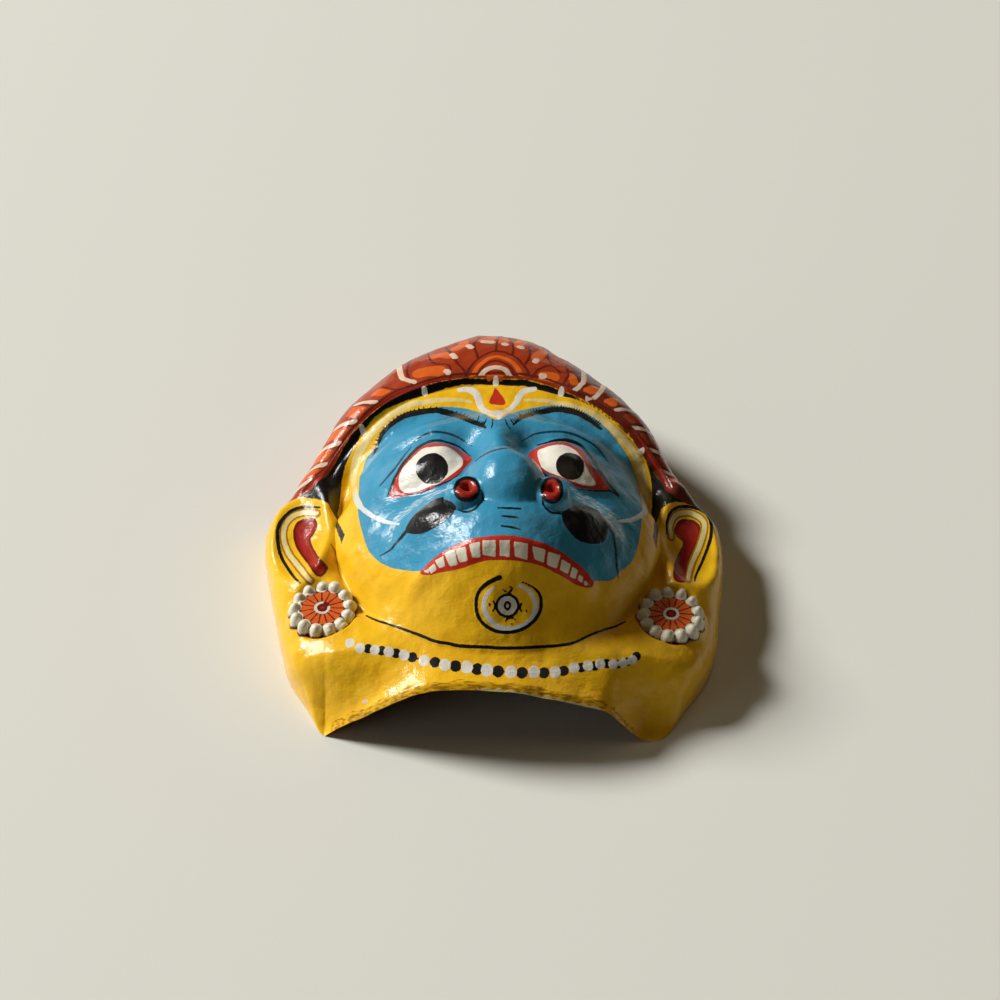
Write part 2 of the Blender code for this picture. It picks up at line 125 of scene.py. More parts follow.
def rim_radius(angle):
    """Distance from the hub to the rim at an angle, exact across the straight neck."""
    turn = 2 * np.pi
    from_tip = (angle - rim_angle[0]) % turn
    reach = np.interp(from_tip, rim_angle - rim_angle[0], rim_reach, period=turn)
    neck = from_tip < neck_tips[1] - neck_tips[0]
    return np.where(neck, -HUB[1] / np.minimum(np.sin(angle), -0.5), reach)


arch_line = spline(NECK_ARCH, 161)


def neck_arch(x):
    """Height of the outer edge of the neck arch."""
    return np.interp(x, *arch_line.T)


def muzzle_x(x, y):
    """Distance from the middle of the face, which leans to the right at the muzzle."""
    return x - 5.0 * np.exp(-(((y - 48.0) / 27.0) ** 2)) * np.exp(-((np.abs(x) / 46.2) ** 4))


def earring(x, y, side):
    """A raised disc with round knobs along its edge, each knob a half ball 4.4 mm high."""
    dx, dy = x - side * RING_X - RING_SHIFT, y - RING_Y
    d = np.hypot(dx, dy)
    disc = 3.0 * clip01((RING_RADIUS - d) / 1.2) ** 0.5
    pitch = 2 * np.pi / KNOBS
    k = np.round((np.arctan2(dy, dx) - KNOB_TURN) / pitch) * pitch + KNOB_TURN
    off = np.hypot(dx - RING_RADIUS * np.cos(k), dy - RING_RADIUS * np.sin(k))
    return np.maximum(disc, 4.4 * np.sqrt(clip01(1.0 - (off / KNOB_RADIUS) ** 2)))


def outer_height(x, y, relief):
    """Height of the painted face above the table: side panel, dome, muzzle, nose and the smaller carving."""
    y = np.maximum(y, 0.0)
    xm = muzzle_x(x, y)
    am, ax = np.abs(xm), np.abs(x)
    angle = np.arctan2(y - HUB[1], x - HUB[0])
    s = np.hypot(x - HUB[0], y - HUB[1]) / rim_radius(angle)
    panel = 24.5 + 14.0 * ease((y - 76.0) / 40.0) - 4.5 * (ax / 70.0) ** 2
    half = np.where(y < FACE_MIDDLE_Y, FACE_BELOW, FACE_ABOVE)
    q = np.sqrt((xm / FACE_HALF_WIDTH) ** 2 + ((y - FACE_MIDDLE_Y) / half) ** 2)
    chin = ease((46.0 - y) / 30.0)
    z = smooth_max(21.0 + 25.0 * clip01(1.0 - q**2.2) ** (0.62 + 0.3 * chin), panel, 2.4 + 8.0 * chin)
    z = z + dome(xm, y, 0.0, 40.0, 44.0, 36.0, 12.0, 2.0)
    z = z + mound(xm, y, 0.0, 82.0, 5.6, 14.0, 4.6)
    round_nose = clip01(1.0 - (xm / 14.6) ** 2 - ((y - 61.0) / 17.0) ** 2)
    z = smooth_max(z, np.where(round_nose > 0, 40.0 + 21.5 * np.sqrt(round_nose), 0.0), 2.0)
    if relief:
        side_valley = ease((ax - 30.0) / 12.0) * ease((y - 24.0) / 10.0) * ease((100.0 - y) / 14.0)
        z = z - 3.2 * np.exp(-(((q - VALLEY) / 0.06) ** 2)) * side_valley
        z = z + mound(am, y, 22.0, 93.5, 21.0, 6.5, 3.4, -0.12)
        z = z + dome(am, y, 21.5, 76.0, 18.0, 13.0, 4.6, 1.5)
        z = z - mound(am, y, 11.5, 82.0, 5.0, 9.0, 2.6)
        z = z + mound(am, y, 27.0, 52.0, 9.0, 5.0, 1.8, 0.45)
        lip = y - 35.3 + 3.2 * (xm / 27.0) ** 2
        z = z + 1.4 * np.exp(-((lip / 3.0) ** 2)) * ease((31.0 - am) / 5.0)
        wing = np.hypot(am - 13.1, y - 55.0)
        ring = 51.3 + 4.5 * np.sqrt(clip01(1.0 - ((wing - 3.9) / 2.6) ** 2))
        z = np.where(wing < 6.5, smooth_max(z, ring, 1.5), z)
        z = z - 1.2 * ease((3.6 - wing) / 2.0)
        e = np.sqrt(((ax - EAR_X) / 10.5) ** 2 + ((y - EAR_Y) / 22.0) ** 2)
        z = z + 3.4 * np.exp(-(((e - 0.95) / 0.24) ** 2)) * ease((y - 34.0) / 8.0)
        z = z - 2.4 * np.exp(-((e / 0.55) ** 2))
    crown = np.sqrt((x / 61.0) ** 2 + ((y - 66.0) / 53.0) ** 2)
    z = z + 3.4 * ease((crown - 1.0) / 0.045) * ease((y - 84.0) / 7.0)
    arch = neck_arch(x)
    arch = arch + 1.5 * clip01(arch / 12.0) * (1.0 - (1.0 - clip01(y / 2.4)) ** 2)
    z = arch + (z - arch) * ease(y / NECK_SLOPE)
    edge = clip01(1.0 - s**5) ** 0.2
    z = arch * ease((36.0 - y) / 26.0) * (1.0 - edge) + z * edge
    if relief:
        away = np.hypot(ax - RING_X - np.sign(x) * RING_SHIFT, y - RING_Y)
        z = z + (18.6 - z) * ease((RING_RADIUS + 3.4 - away) / 2.6)
        z = z + np.maximum(earring(x, y, 1.0), earring(x, y, -1.0))
    return z


def inner_height(x, y):
    """Height of the bare inside: the outer face less a ball of the wall's radius rolled along it."""
    z = np.full(np.shape(x), 1e3)
    for reach in (0.0, 0.5, 0.8, 0.97):
        for k in range(1 if reach == 0.0 else 12):
            u = x + WALL * reach * math.cos(k * math.pi / 6.0)
            v = y + WALL * reach * math.sin(k * math.pi / 6.0)
            low = np.minimum(outer_height(u, v, True), outer_height(u, v, False))
            z = np.minimum(z, low - WALL * math.sqrt(1.0 - reach * reach))
    return z


def face_net(cells):
    """A square net bent onto a disc: rings of the square become ellipses of the face. Returns plan x, y."""
    a = np.linspace(-1.0, 1.0, cells + 1)
    u, v = np.meshgrid(a, a)
    wide = np.abs(u) >= np.abs(v)
    r = np.where(wide, u, v)
    turn = np.where(wide, np.pi / 4 * v / np.where(u == 0, 1, u),
                    np.pi / 2 - np.pi / 4 * u / np.where(v == 0, 1, v))
    return face_edge(turn + np.where(r < 0, np.pi, 0.0), np.abs(r))


def face_edge(turn, share=1.0):
    """Plan of the valley round the face at a turn, or a share of the way out to it."""
    up = np.where(np.sin(turn) < 0, FACE_BELOW, FACE_ABOVE) * VALLEY
    return FACE_HALF_WIDTH * VALLEY * share * np.cos(turn), FACE_MIDDLE_Y + up * share * np.sin(turn)


def surround_net(turns, rows):
    """Rays from the valley round the face to the rim, evenly spaced on a ray that runs level, then down."""
    x0, y0 = face_edge(np.arange(turns) * 2 * np.pi / turns)
    angle = np.arctan2(y0 - HUB[1], x0 - HUB[0])
    reach = rim_radius(angle)
    x1, y1 = HUB[0] + reach * np.cos(angle), HUB[1] + reach * np.sin(angle)
    fine = 1.0 - np.linspace(1.0, 0.0, 4001) ** 3
    drop = 27.0 * (1.0 - (0.7 + 0.3 * fine) ** 5) ** 0.2
    length = np.concatenate([[0.0], np.cumsum(np.hypot(22.0 * np.diff(fine), np.diff(drop)))])
    t = np.interp(np.linspace(0.0, length[-1], rows + 1), length, fine)[:, None]
    return x0 + (x1 - x0) * t, np.maximum(y0 + (y1 - y0) * t, 0.0), angle


def grid_faces(rows, columns, closed):
    """Corner numbers of a net of four-sided faces, facing up; closed ones join round, rows running out."""
    i = np.arange(rows)[:, None]
    j = np.arange(columns)[None, :]
    wide = columns if closed else columns + 1
    a = i * wide + j
    b = i * wide + (j + 1) % wide
    corners = [a, a + wide, b + wide, b] if closed else [a, b, b + wide, a + wide]
    return np.stack(corners, -1).reshape(-1, 4)


def make_mesh(name, verts, faces, fields):
    """A smooth mesh from whole arrays, in metres about the middle, each paint layer a point attribute."""
    mesh = bpy.data.meshes.new(name)
    mesh.vertices.add(len(verts))
    mesh.vertices.foreach_set("co", ((verts - (MIDDLE[0], MIDDLE[1], 0.0)) * 0.001).ravel())
    mesh.loops.add(faces.size)
    mesh.loops.foreach_set("vertex_index", faces.ravel())
    mesh.polygons.add(len(faces))
    mesh.polygons.foreach_set("loop_start", np.arange(0, faces.size, faces.shape[1]))
    mesh.update(calc_edges=True)
    mesh.validate()
    mesh.shade_smooth()
    for key, values in fields.items():
        mesh.attributes.new(key, "FLOAT", "POINT").data.foreach_set("value", values.astype(np.float32))
    piece = bpy.data.objects.new(name, mesh)
    bpy.context.scene.collection.objects.link(piece)
    return piece


CELLS = 310
TURNS = 4 * CELLS
RAY_ROWS = 152
HALF_ROWS = 76
face_x, face_y = face_net(CELLS)
ray_x, ray_y, ray_angle = surround_net(TURNS, RAY_ROWS)
face_count = face_x.size
x = np.concatenate([face_x.ravel(), ray_x.ravel()])
y = np.concatenate([face_y.ravel(), ray_y.ravel()])
z = outer_height(x, y, True)
rim = np.arange(x.size) >= x.size - TURNS
z = np.where(rim, np.where(y < 1e-6, neck_arch(x), 0.0), z)
face_faces = grid_faces(CELLS, CELLS, False)

# The face net's border runs along the first row of the rays; there the two count as one point.
column, row = np.meshgrid(np.arange(CELLS + 1), np.arange(CELLS + 1))
border = (column % CELLS == 0) | (row % CELLS == 0)
bearing = np.arctan2((face_y - FACE_MIDDLE_Y) / np.where(face_y < FACE_MIDDLE_Y, FACE_BELOW, FACE_ABOVE),
                     face_x / FACE_HALF_WIDTH)
twin = np.arange(x.size)
twin[:face_count] = np.where(border, face_count + np.round(bearing / (2 * np.pi) * TURNS).astype(int) % TURNS,
                             column + row * (CELLS + 1)).ravel()
outer_faces = np.vstack([twin[face_faces], face_count + grid_faces(RAY_ROWS, TURNS, True)])

# The painting. Each colour is laid by hand with a round brush in the order the painter works: grounds
# first, then lines, then dots. A layer is how far a point of the surface lies outside the brush mark, in
# millimetres.

# The face is laid out in p across it and q up it, square to the line of sight. A mark laid so comes again
# where the same line meets the outer wall behind, as behind the ears and at the crown's back rim.
TILT = math.radians(47.0)
p = x
q = y * math.sin(TILT) + z * math.cos(TILT)
layers = {}


def brush(p, q, points, widths, close=False):
    """Distance outside a brush stroke: to the curve through the points, less half the width there."""
    out = np.full(p.shape, 2.0)
    line = spline(points, 6 * (len(points) - 1) + 1) if len(points) > 2 else np.array(points, float)
    w = np.interp(np.linspace(0, 1, len(line)), np.linspace(0, 1, len(widths)), widths) * 0.5
    reach = w.max() + 2.0
    near = (p > line[:, 0].min() - reach) & (p < line[:, 0].max() + reach)
    near &= (q > line[:, 1].min() - reach) & (q < line[:, 1].max() + reach)
    u, v = p[near], q[near]
    best = np.full(u.shape, 2.0)
    for (ax, ay), (bx, by), wa, wb in zip(line[:-1], line[1:], w[:-1], w[1:]):
        dx, dy = bx - ax, by - ay
        k = clip01(((u - ax) * dx + (v - ay) * dy) / (dx * dx + dy * dy + 1e-12))
        best = np.minimum(best, np.hypot(u - ax - k * dx, v - ay - k * dy) - (wa + (wb - wa) * k))
    out[near] = best
    return out


def patch(p, q, points, smooth=True):
    """Distance outside a filled outline, negative inside it."""
    ring = list(points) + [points[0]]
    if smooth:
        turns = [points[-1]] + ring + [points[1]]
        line = spline(turns, 6 * (len(turns) - 1) + 1)[6:-6]
    else:
        line = np.array(ring, float)
    out = np.full(p.shape, 2.0)
    near = (p > line[:, 0].min() - 2) & (p < line[:, 0].max() + 2)
    near &= (q > line[:, 1].min() - 2) & (q < line[:, 1].max() + 2)
    u, v = p[near], q[near]
    best = np.full(u.shape, 4.0)
    inside = np.zeros(u.shape, bool)
    for (ax, ay), (bx, by) in zip(line[:-1], line[1:]):
        dx, dy = bx - ax, by - ay
        k = clip01(((u - ax) * dx + (v - ay) * dy) / (dx * dx + dy * dy + 1e-12))
        best = np.minimum(best, (u - ax - k * dx) ** 2 + (v - ay - k * dy) ** 2)
        crosses = (ay > v) != (by > v)
        inside ^= crosses & (u < ax + (v - ay) * dx / (dy if abs(dy) > 1e-12 else 1e-12))
    best = np.minimum(np.sqrt(best), 2.0)
    out[near] = np.where(inside, -best, best)
    return out


def dab(p, q, cx, cy, rx, ry, turn=0.0):
    """Distance outside an oval dab of paint, near enough for small ovals."""
    c, s = math.cos(turn), math.sin(turn)
    u, v = (p - cx) * c + (q - cy) * s, -(p - cx) * s + (q - cy) * c
    k = np.hypot(u / rx, v / ry)
    return np.clip((k - 1.0) * np.minimum(rx, ry), -2.0, 2.0)


def lay(name, mark):
    """Adds a mark to the paint layer of that name."""
    layers[name] = np.minimum(layers.get(name, np.full(x.shape, 2.0)), np.clip(mark, -2.0, 2.0))


# The crown band and the hair are laid out in plan, because the band runs over the top and down the back.
# Everything past the band's lower edge is a red-brown ground, and on it come orange petals, dark outlines
# and cream dots.

crown_edge = [(-77.7, 80.4), (-65.1, 83.6), (-61.0, 84.8), (-56.6, 88.6), (-53.5, 93.4), (-51.0, 97.3),
    (-48.4, 100.8), (-42.9, 106.2), (-34.5, 112.8), (-26.9, 116.0), (-19.3, 118.3), (-11.6, 119.7),
    (-0.9, 120.2), (8.9, 119.8), (16.6, 118.2), (24.4, 115.5), (32.1, 111.9), (38.1, 108.1), (43.5, 103.9),
    (47.9, 98.7), (51.2, 94.2), (54.5, 90.0), (58.6, 83.3), (71.7, 83.5)]
edge = spline(crown_edge, 94)
far = [(150.0, 60.0), (150.0, 220.0), (-150.0, 220.0), (-150.0, 60.0)]
lay("crown_ground", patch(x, y, list(map(tuple, edge)) + far, smooth=False))
away = edge - (0.0, 60.0)
away = away / np.hypot(away[:, :1], away[:, 1:])
lay("red_ear", brush(x, y, (edge + 1.2 * away)[6:-6:3], [0.8, 1.2, 1.5, 1.3, 1.0, 0.8, 0.6, 0.4, 0.3]))
lay("crown_line", brush(x, y, (edge + 2.6 * away)[6:-6:3], [0.7]))
CROWN_HUB = (1.0, 60.0)
turn = np.degrees(np.arctan2(x - CROWN_HUB[0], y - CROWN_HUB[1]))
ring = np.hypot(x - CROWN_HUB[0], y - CROWN_HUB[1])
edge_out = edge - CROWN_HUB
inner_ring = np.interp(turn, np.degrees(np.arctan2(edge_out[:, 0], edge_out[:, 1])),
                       np.hypot(edge_out[:, 0], edge_out[:, 1]))
beyond = ring - inner_ring


def side_marks(places, half, start, reach, lean=0.0):
    """Marks across the band at the given turns: half width in mm, from start to reach mm beyond the edge."""
    best = np.full(x.shape, 2.0)
    for place in places:
        across = np.abs(np.radians(turn - place + lean * (beyond - 4.0)) * ring) - half
        along = np.abs(beyond - 0.5 * (start + reach)) - 0.5 * (reach - start)
        round_end = np.hypot(np.maximum(across + 0.9, 0.0), np.maximum(along + 0.9, 0.0)) - 0.9
        best = np.minimum(best, np.maximum(round_end, np.minimum(np.maximum(across, along), 0.0)))
    return np.where(z > 15.0, best, 2.0)


left_petals = [-35.2, -43.6, -51.0, -57.8, -64.2]
right_petals = [27.3, 34.5, 41.6, 48.6, 55.6, 62.2]
right_marks = side_marks(right_petals, 2.0, 3.2, 8.0, -0.35)

# Right of x = 24 the ground turns darker brown: painted shade on the crown's right side. Past SHADE_X the
# petals are left in the red-brown ground instead of being laid in orange, so that they are in painted shade
# too.
SHADE_X = 40.0
in_shade = np.maximum(layers["crown_ground"], (24.0 - x) * 0.04)
lay("crown_painted_shade", np.maximum(in_shade, np.where(x > SHADE_X, -right_marks, -2.0)))
lay("crown_orange", side_marks(left_petals, 2.1, 3.4, 8.2, 0.35))
lay("crown_orange", np.where(x > SHADE_X, 2.0, right_marks))
lay("crown_line", side_marks([p + 2.6 for p in left_petals], 0.45, 2.8, 8.6, 0.35))
lay("crown_line", side_marks([p - 2.5 for p in right_petals], 0.45, 2.8, 8.6, -0.35))
lay("crown_cream", side_marks([-39.6, -47.4, -54.4, -61.0, -67.0], 1.0, 2.6, 9.4, 0.55))
lay("crown_cream", side_marks([37.8, 45.0, 52.0, 58.8], 0.8, 2.6, 8.2, -0.55))

for points, width in (
    ([(-11.6, 120.3), (-7.6, 129.2), (-1.5, 134.3), (5.2, 131.2), (10.1, 122.9)], 1.0),
    ([(-7.3, 121.4), (-4.7, 126.0), (-0.9, 128.2), (3.4, 125.4), (6.3, 121.0)], 1.1),
    ([(-29.1, 118.5), (-31.2, 126.1), (-30.5, 136.2), (-28.8, 157.2)], 0.9),
    ([(-16.3, 118.5), (-16.9, 126.3), (-23.6, 131.7), (-26.1, 159.3)], 0.8),
    ([(-11.0, 122.4), (-14.6, 128.5), (-18.5, 139.9)], 0.9),
    ([(-7.2, 130.7), (-8.8, 138.9), (-7.0, 145.2)], 0.9),
    ([(-1.2, 134.9), (-1.0, 142.5)], 0.7),
    ([(4.6, 132.7), (4.5, 139.0), (3.1, 145.4)], 0.9),
    ([(8.5, 126.0), (10.4, 132.4), (10.0, 139.8)], 0.9),
    ([(11.2, 120.9), (14.2, 125.9), (17.9, 128.1), (20.7, 125.1)], 0.9),
    ([(17.9, 128.1), (16.6, 136.7), (18.6, 162.4)], 0.8),
    ([(21.3, 118.2), (23.4, 123.6), (22.7, 130.5)], 0.9),
):
    lay("crown_line", brush(x, y, points, [width]))
for points, width in (
    ([(-9.3, 120.5), (-6.1, 126.8), (-0.9, 130.9), (4.8, 127.0), (7.7, 121.8)], 1.6),
    ([(-3.2, 120.5), (-1.2, 121.0), (0.8, 120.6)], 1.6),
    ([(-26.6, 123.9), (-23.6, 124.1), (-20.5, 123.9)], 5.4),
    ([(-22.7, 133.7), (-20.0, 134.2), (-17.2, 132.7)], 4.2),
    ([(-15.0, 137.3), (-13.0, 139.9), (-12.4, 141.5)], 3.8),
    ([(-5.5, 141.8), (-2.8, 144.6)], 4.0),
    ([(1.1, 140.8), (2.1, 143.8)], 3.4),
    ([(6.3, 138.5), (7.9, 143.8)], 3.6),
    ([(12.5, 131.7), (14.9, 137.3)], 3.8),
    ([(15.6, 121.8), (18.3, 122.1)], 4.6),
    ([(24.4, 123.9), (25.4, 120.5)], 3.0),
):
    lay("crown_orange", brush(x, y, points, [width]))
for points, width in (
    ([(-6.4, 121.4), (-4.6, 123.6), (-1.3, 124.8), (2.1, 123.9), (4.0, 121.5)], 1.7),
    ([(-34.0, 156.0), (-35.7, 151.8), (-33.4, 125.8), (-30.5, 120.7), (-28.5, 119.5)], 1.9),
    ([(28.4, 151.5), (28.8, 124.9), (27.6, 119.5), (25.7, 117.0)], 1.7),
    ([(35.7, 125.0), (34.3, 117.9), (32.0, 114.3), (29.7, 114.0)], 1.6),
    ([(-17.6, 123.2), (-17.0, 122.6)], 2.1),
    ([(-16.0, 133.1), (-15.0, 131.0)], 2.1),
    ([(-10.7, 138.5), (-9.8, 137.2)], 2.2),
    ([(-5.5, 140.9), (-2.7, 140.8)], 2.4),
    ([(1.5, 139.3), (2.1, 139.1)], 2.0),
    ([(6.8, 137.5), (7.5, 137.3)], 2.1),
    ([(12.2, 129.4), (12.8, 130.5)], 2.1),
    ([(14.6, 122.0), (15.2, 122.1)], 2.2),
):
    lay("crown_cream", brush(x, y, points, [width]))

lay("hair", patch(x, y, crown_edge + [(62.4, 83.0), (59.3, 81.7), (55.8, 79.1), (53.9, 78.0),
    (52.8, 73.5), (51.3, 63.2), (50.5, 57.4), (49.8, 60.3), (50.5, 70.5), (51.5, 82.7), (51.6, 87.6),
    (50.9, 92.2), (48.9, 97.6), (44.5, 102.7), (38.8, 107.3), (32.8, 111.2), (26.7, 114.1), (20.7, 115.8),
    (14.0, 117.5), (8.9, 118.8), (0.5, 119.1), (-6.2, 119.1), (-12.3, 118.6), (-17.9, 117.2),
    (-22.9, 115.3), (-30.8, 112.5), (-36.7, 109.6), (-41.0, 106.6), (-45.5, 102.0), (-48.3, 97.2),
    (-50.5, 92.6), (-51.4, 88.9), (-51.7, 82.6), (-51.9, 76.1), (-49.8, 68.0), (-47.8, 60.9),
    (-48.4, 58.5), (-50.4, 66.6), (-52.6, 72.7), (-54.8, 77.1), (-59.8, 81.1),
    (-64.7, 83.5)], smooth=False))
for cx, cy in [(-0.9, 119.6), (-24.6, 115.4), (21.0, 116.4), (-44.7, 103.0), (47.9, 98.7)]:
    lay("white", dab(x, y, cx, cy, 1.0, 1.1))

# The face. A blue ground from the brows to the lip, kept off the crown's back, and round it a cream halo;
# then the red, the white and the black.

front = y < 121.0
lay("blue", np.where(front, patch(p, q, [(0.1, 100.2), (-4.8, 102.8), (-9.9, 104.5), (-15.3, 105.0),
    (-20.3, 104.8), (-25.3, 103.5), (-29.9, 101.9), (-33.5, 99.7), (-37.1, 96.3), (-39.9, 91.9),
    (-43.1, 87.8), (-44.3, 83.1), (-44.7, 79.4), (-44.4, 75.2), (-44.1, 70.3), (-43.1, 66.2), (-41.3, 60.9),
    (-39.4, 57.2), (-36.2, 54.5), (-33.2, 53.1), (-30.2, 52.3), (-26.9, 52.0), (-22.3, 52.0), (-12.9, 54.2),
    (-3.8, 57.1), (4.7, 58.2), (14.5, 56.8), (23.7, 52.5), (30.0, 49.4), (31.9, 49.7), (35.4, 49.6),
    (38.0, 50.5), (40.2, 52.7), (43.5, 55.7), (45.3, 60.0), (46.4, 65.0), (46.9, 69.5), (47.2, 74.9),
    (47.1, 79.9), (45.5, 84.9), (43.1, 89.8), (39.8, 94.8), (35.4, 99.4), (30.8, 103.1), (24.7, 105.5),
    (19.0, 106.1), (14.0, 105.6), (9.1, 104.4), (4.2, 102.6)]), 2.0))
lay("cream", brush(p, q, [(-8.7, 106.8), (-13.7, 107.4), (-18.8, 107.4), (-23.8, 106.6), (-29.1, 105.6),
    (-34.0, 103.1), (-38.9, 99.3), (-42.8, 94.6), (-45.9, 89.1), (-47.1, 84.5), (-47.2, 79.5), (-45.3, 74.5),
    (-43.5, 71.6)], [0.8, 1.6, 2.2, 2.5, 2.5, 2.2]))
lay("cream", brush(p, q, [(9.0, 107.8), (14.7, 107.7), (20.7, 106.9), (28.1, 105.0), (34.1, 102.1),
    (39.1, 97.8), (43.5, 93.5), (46.5, 88.6), (48.2, 83.6), (49.2, 77.6),
    (48.5, 72.4)], [0.8, 1.5, 2.2, 2.6, 2.7, 2.5]))
lay("pale", brush(p, q, [(-45.3, 74.5), (-43.5, 71.6), (-39.5, 68.8), (-36.0, 67.3), (-32.6, 66.5),
    (-29.9, 66.2)], [1.5, 1.6, 1.4, 0.7]))
lay("pale", brush(p, q, [(49.2, 76.3), (48.5, 72.4), (46.9, 70.1), (44.4, 68.8), (42.1, 68.3),
    (39.4, 68.2)], [1.3, 1.6, 1.5, 0.8]))
lay("cream", brush(p, q, [(-14.9, 107.6), (-11.7, 107.5), (-8.7, 106.6)], [0.5, 0.7, 0.5]))
lay("dry", brush(p, q, [(24.1, 78.1), (29.2, 75.3), (33.3, 72.8), (35.9, 70.7), (38.4, 67.5), (39.7, 65.1),
    (40.3, 62.2)], [1.2, 2.0, 2.6, 2.4, 1.4]))
lay("dry", brush(p, q, [(25.3, 75.5), (30.1, 73.4), (34.5, 70.3), (37.1, 67.2),
    (38.6, 63.5)], [1.0, 2.2, 2.0, 1.0]))
lay("dry", brush(p, q, [(-13.0, 78.2), (-18.5, 76.1), (-23.2, 73.7), (-27.6, 70.3), (-31.0, 67.4),
    (-32.4, 64.3), (-32.6, 60.8)], [1.0, 1.8, 2.2, 1.8, 1.0]))

lay("white", brush(p, q, [(-13.0, 111.0), (-9.5, 111.1), (-7.1, 109.2), (-5.8, 105.5), (-3.5, 103.2),
    (0.3, 102.1), (4.1, 104.3), (6.0, 106.8), (7.0, 108.9), (8.9, 111.1),
    (12.2, 111.7)], [1.7, 2.3, 2.3, 1.9, 1.7, 1.7, 1.8, 2.2, 2.0, 1.5]))
lay("white", patch(p, q, [(-1.7, 102.6), (0.2, 103.4), (2.5, 102.7), (0.7, 100.4)]))
lay("red", patch(p, q, [(-1.0, 111.8), (0.9, 109.7), (2.5, 107.3), (2.0, 106.1), (-0.3, 106.0),
    (-2.8, 106.5), (-2.7, 107.9), (-1.8, 110.0)]))

brows = ([(-41.5, 87.4), (-39.0, 93.9), (-37.3, 97.0), (-32.3, 101.1), (-27.6, 102.7), (-20.6, 103.6),
    (-13.4, 102.2), (-8.5, 99.9), (-5.2, 98.4), (-3.9, 97.8)],
         [(5.3, 98.6), (9.0, 101.7), (14.5, 103.8), (20.0, 104.7), (25.5, 103.9), (30.4, 101.5),
          (34.4, 98.5)])
for points in brows:
    lay("black", brush(p, q, points, [0.6, 1.5, 1.9, 2.0, 1.7, 1.0]))
    line = spline(points, 41)
    step = np.gradient(line, axis=0)
    side = np.stack([-step[:, 1], step[:, 0]], 1) / np.hypot(step[:, :1], step[:, 1:])
    for k in range(2, 39):
        out = side[k] * (1.45 + 0.3 * math.sin(7.0 * k)) + step[k] * (0.3 if k > 20 else -0.25)
        lay("black", brush(p, q, [tuple(line[k]), tuple(line[k] + out)], [0.7, 0.25]))
for points in (
    [(-1.4, 100.6), (-1.4, 98.8), (-1.9, 97.4)], [(-3.5, 100.9), (-3.7, 99.7), (-4.1, 98.5)],
    [(2.7, 100.3), (3.4, 98.6), (4.4, 97.2)], [(4.2, 101.0), (4.8, 99.8), (5.7, 98.7)],
    [(-6.0, 102.3), (-6.2, 100.7), (-6.6, 99.7)], [(7.1, 102.9), (7.8, 101.6), (8.5, 100.7)],
):
    lay("black", brush(p, q, points, [0.3, 0.5, 0.3]))

# The eyes: a red lid, then the white laid over it so that the red stays as a rim, then a black pupil and a
# black upper lid.

lay("red", patch(p, q, [(-34.0, 74.7), (-30.3, 83.4), (-26.0, 89.1), (-22.6, 91.6), (-18.4, 92.1),
    (-14.9, 91.6), (-11.6, 90.2), (-7.6, 87.5), (-9.5, 84.5), (-11.6, 82.2), (-15.5, 79.9), (-18.6, 78.1),
    (-21.7, 76.7), (-27.6, 75.2)]))
lay("red", patch(p, q, [(10.3, 88.6), (12.4, 91.0), (15.8, 92.5), (19.6, 93.3), (23.0, 93.2), (26.4, 91.6),
    (28.8, 88.6), (31.2, 85.2), (34.1, 81.9), (36.8, 77.8), (34.5, 77.8), (30.1, 78.1), (26.3, 78.5),
    (22.9, 80.3), (19.3, 81.8), (15.3, 83.3), (12.4, 85.5)]))
lay("white_eye", patch(p, q, [(-30.5, 79.3), (-29.6, 83.4), (-25.9, 87.9), (-22.5, 90.5), (-17.9, 90.9),
    (-14.7, 90.4), (-12.0, 88.6), (-10.5, 86.7), (-10.6, 84.9), (-12.5, 83.1), (-14.2, 81.7), (-17.7, 79.2),
    (-20.8, 78.1), (-24.4, 76.7), (-28.1, 76.0), (-30.0, 77.1)]))
lay("white_eye", patch(p, q, [(13.4, 89.9), (15.8, 91.2), (19.6, 92.2), (23.0, 91.8), (25.9, 90.1),
    (28.2, 86.4), (30.1, 83.1), (31.9, 79.8), (30.1, 79.0), (27.2, 79.4), (23.4, 80.6), (19.3, 82.3),
    (15.8, 83.8), (14.3, 85.7)]))
lay("black", brush(p, q, [(-34.1, 75.0), (-30.3, 84.0), (-26.1, 89.6), (-22.7, 92.2), (-18.5, 92.9),
    (-15.0, 92.3), (-11.7, 91.0), (-7.9, 88.2)], [0.8, 1.15, 1.2, 1.1, 0.9, 0.7, 0.5, 0.3]))
lay("black", brush(p, q, [(13.2, 92.1), (15.8, 93.0), (19.6, 94.0), (23.5, 94.0), (27.0, 92.5), (29.8, 89.3),
    (32.7, 85.1), (36.1, 80.4), (39.5, 76.1)], [0.35, 0.6, 0.9, 1.1, 1.1, 1.0, 1.0, 0.9, 0.6]))
lay("black", brush(p, q, [(26.3, 78.1), (30.1, 77.7), (34.5, 77.6), (36.8, 77.7),
    (39.5, 76.1)], [0.25, 0.35, 0.5, 0.7, 0.5]))
lay("black", brush(p, q, [(-33.8, 74.8), (-28.6, 75.3), (-24.3, 76.1), (-20.5, 77.5), (-16.1, 79.4),
    (-12.9, 81.1), (-10.2, 83.4)], [0.5, 0.3, 0.45, 0.3, 0.5, 0.4, 0.2]))
lay("black", dab(p, q, -20.1, 83.9, 5.2, 5.0))
lay("black", dab(p, q, 23.7, 85.3, 4.4, 4.7, 0.5))
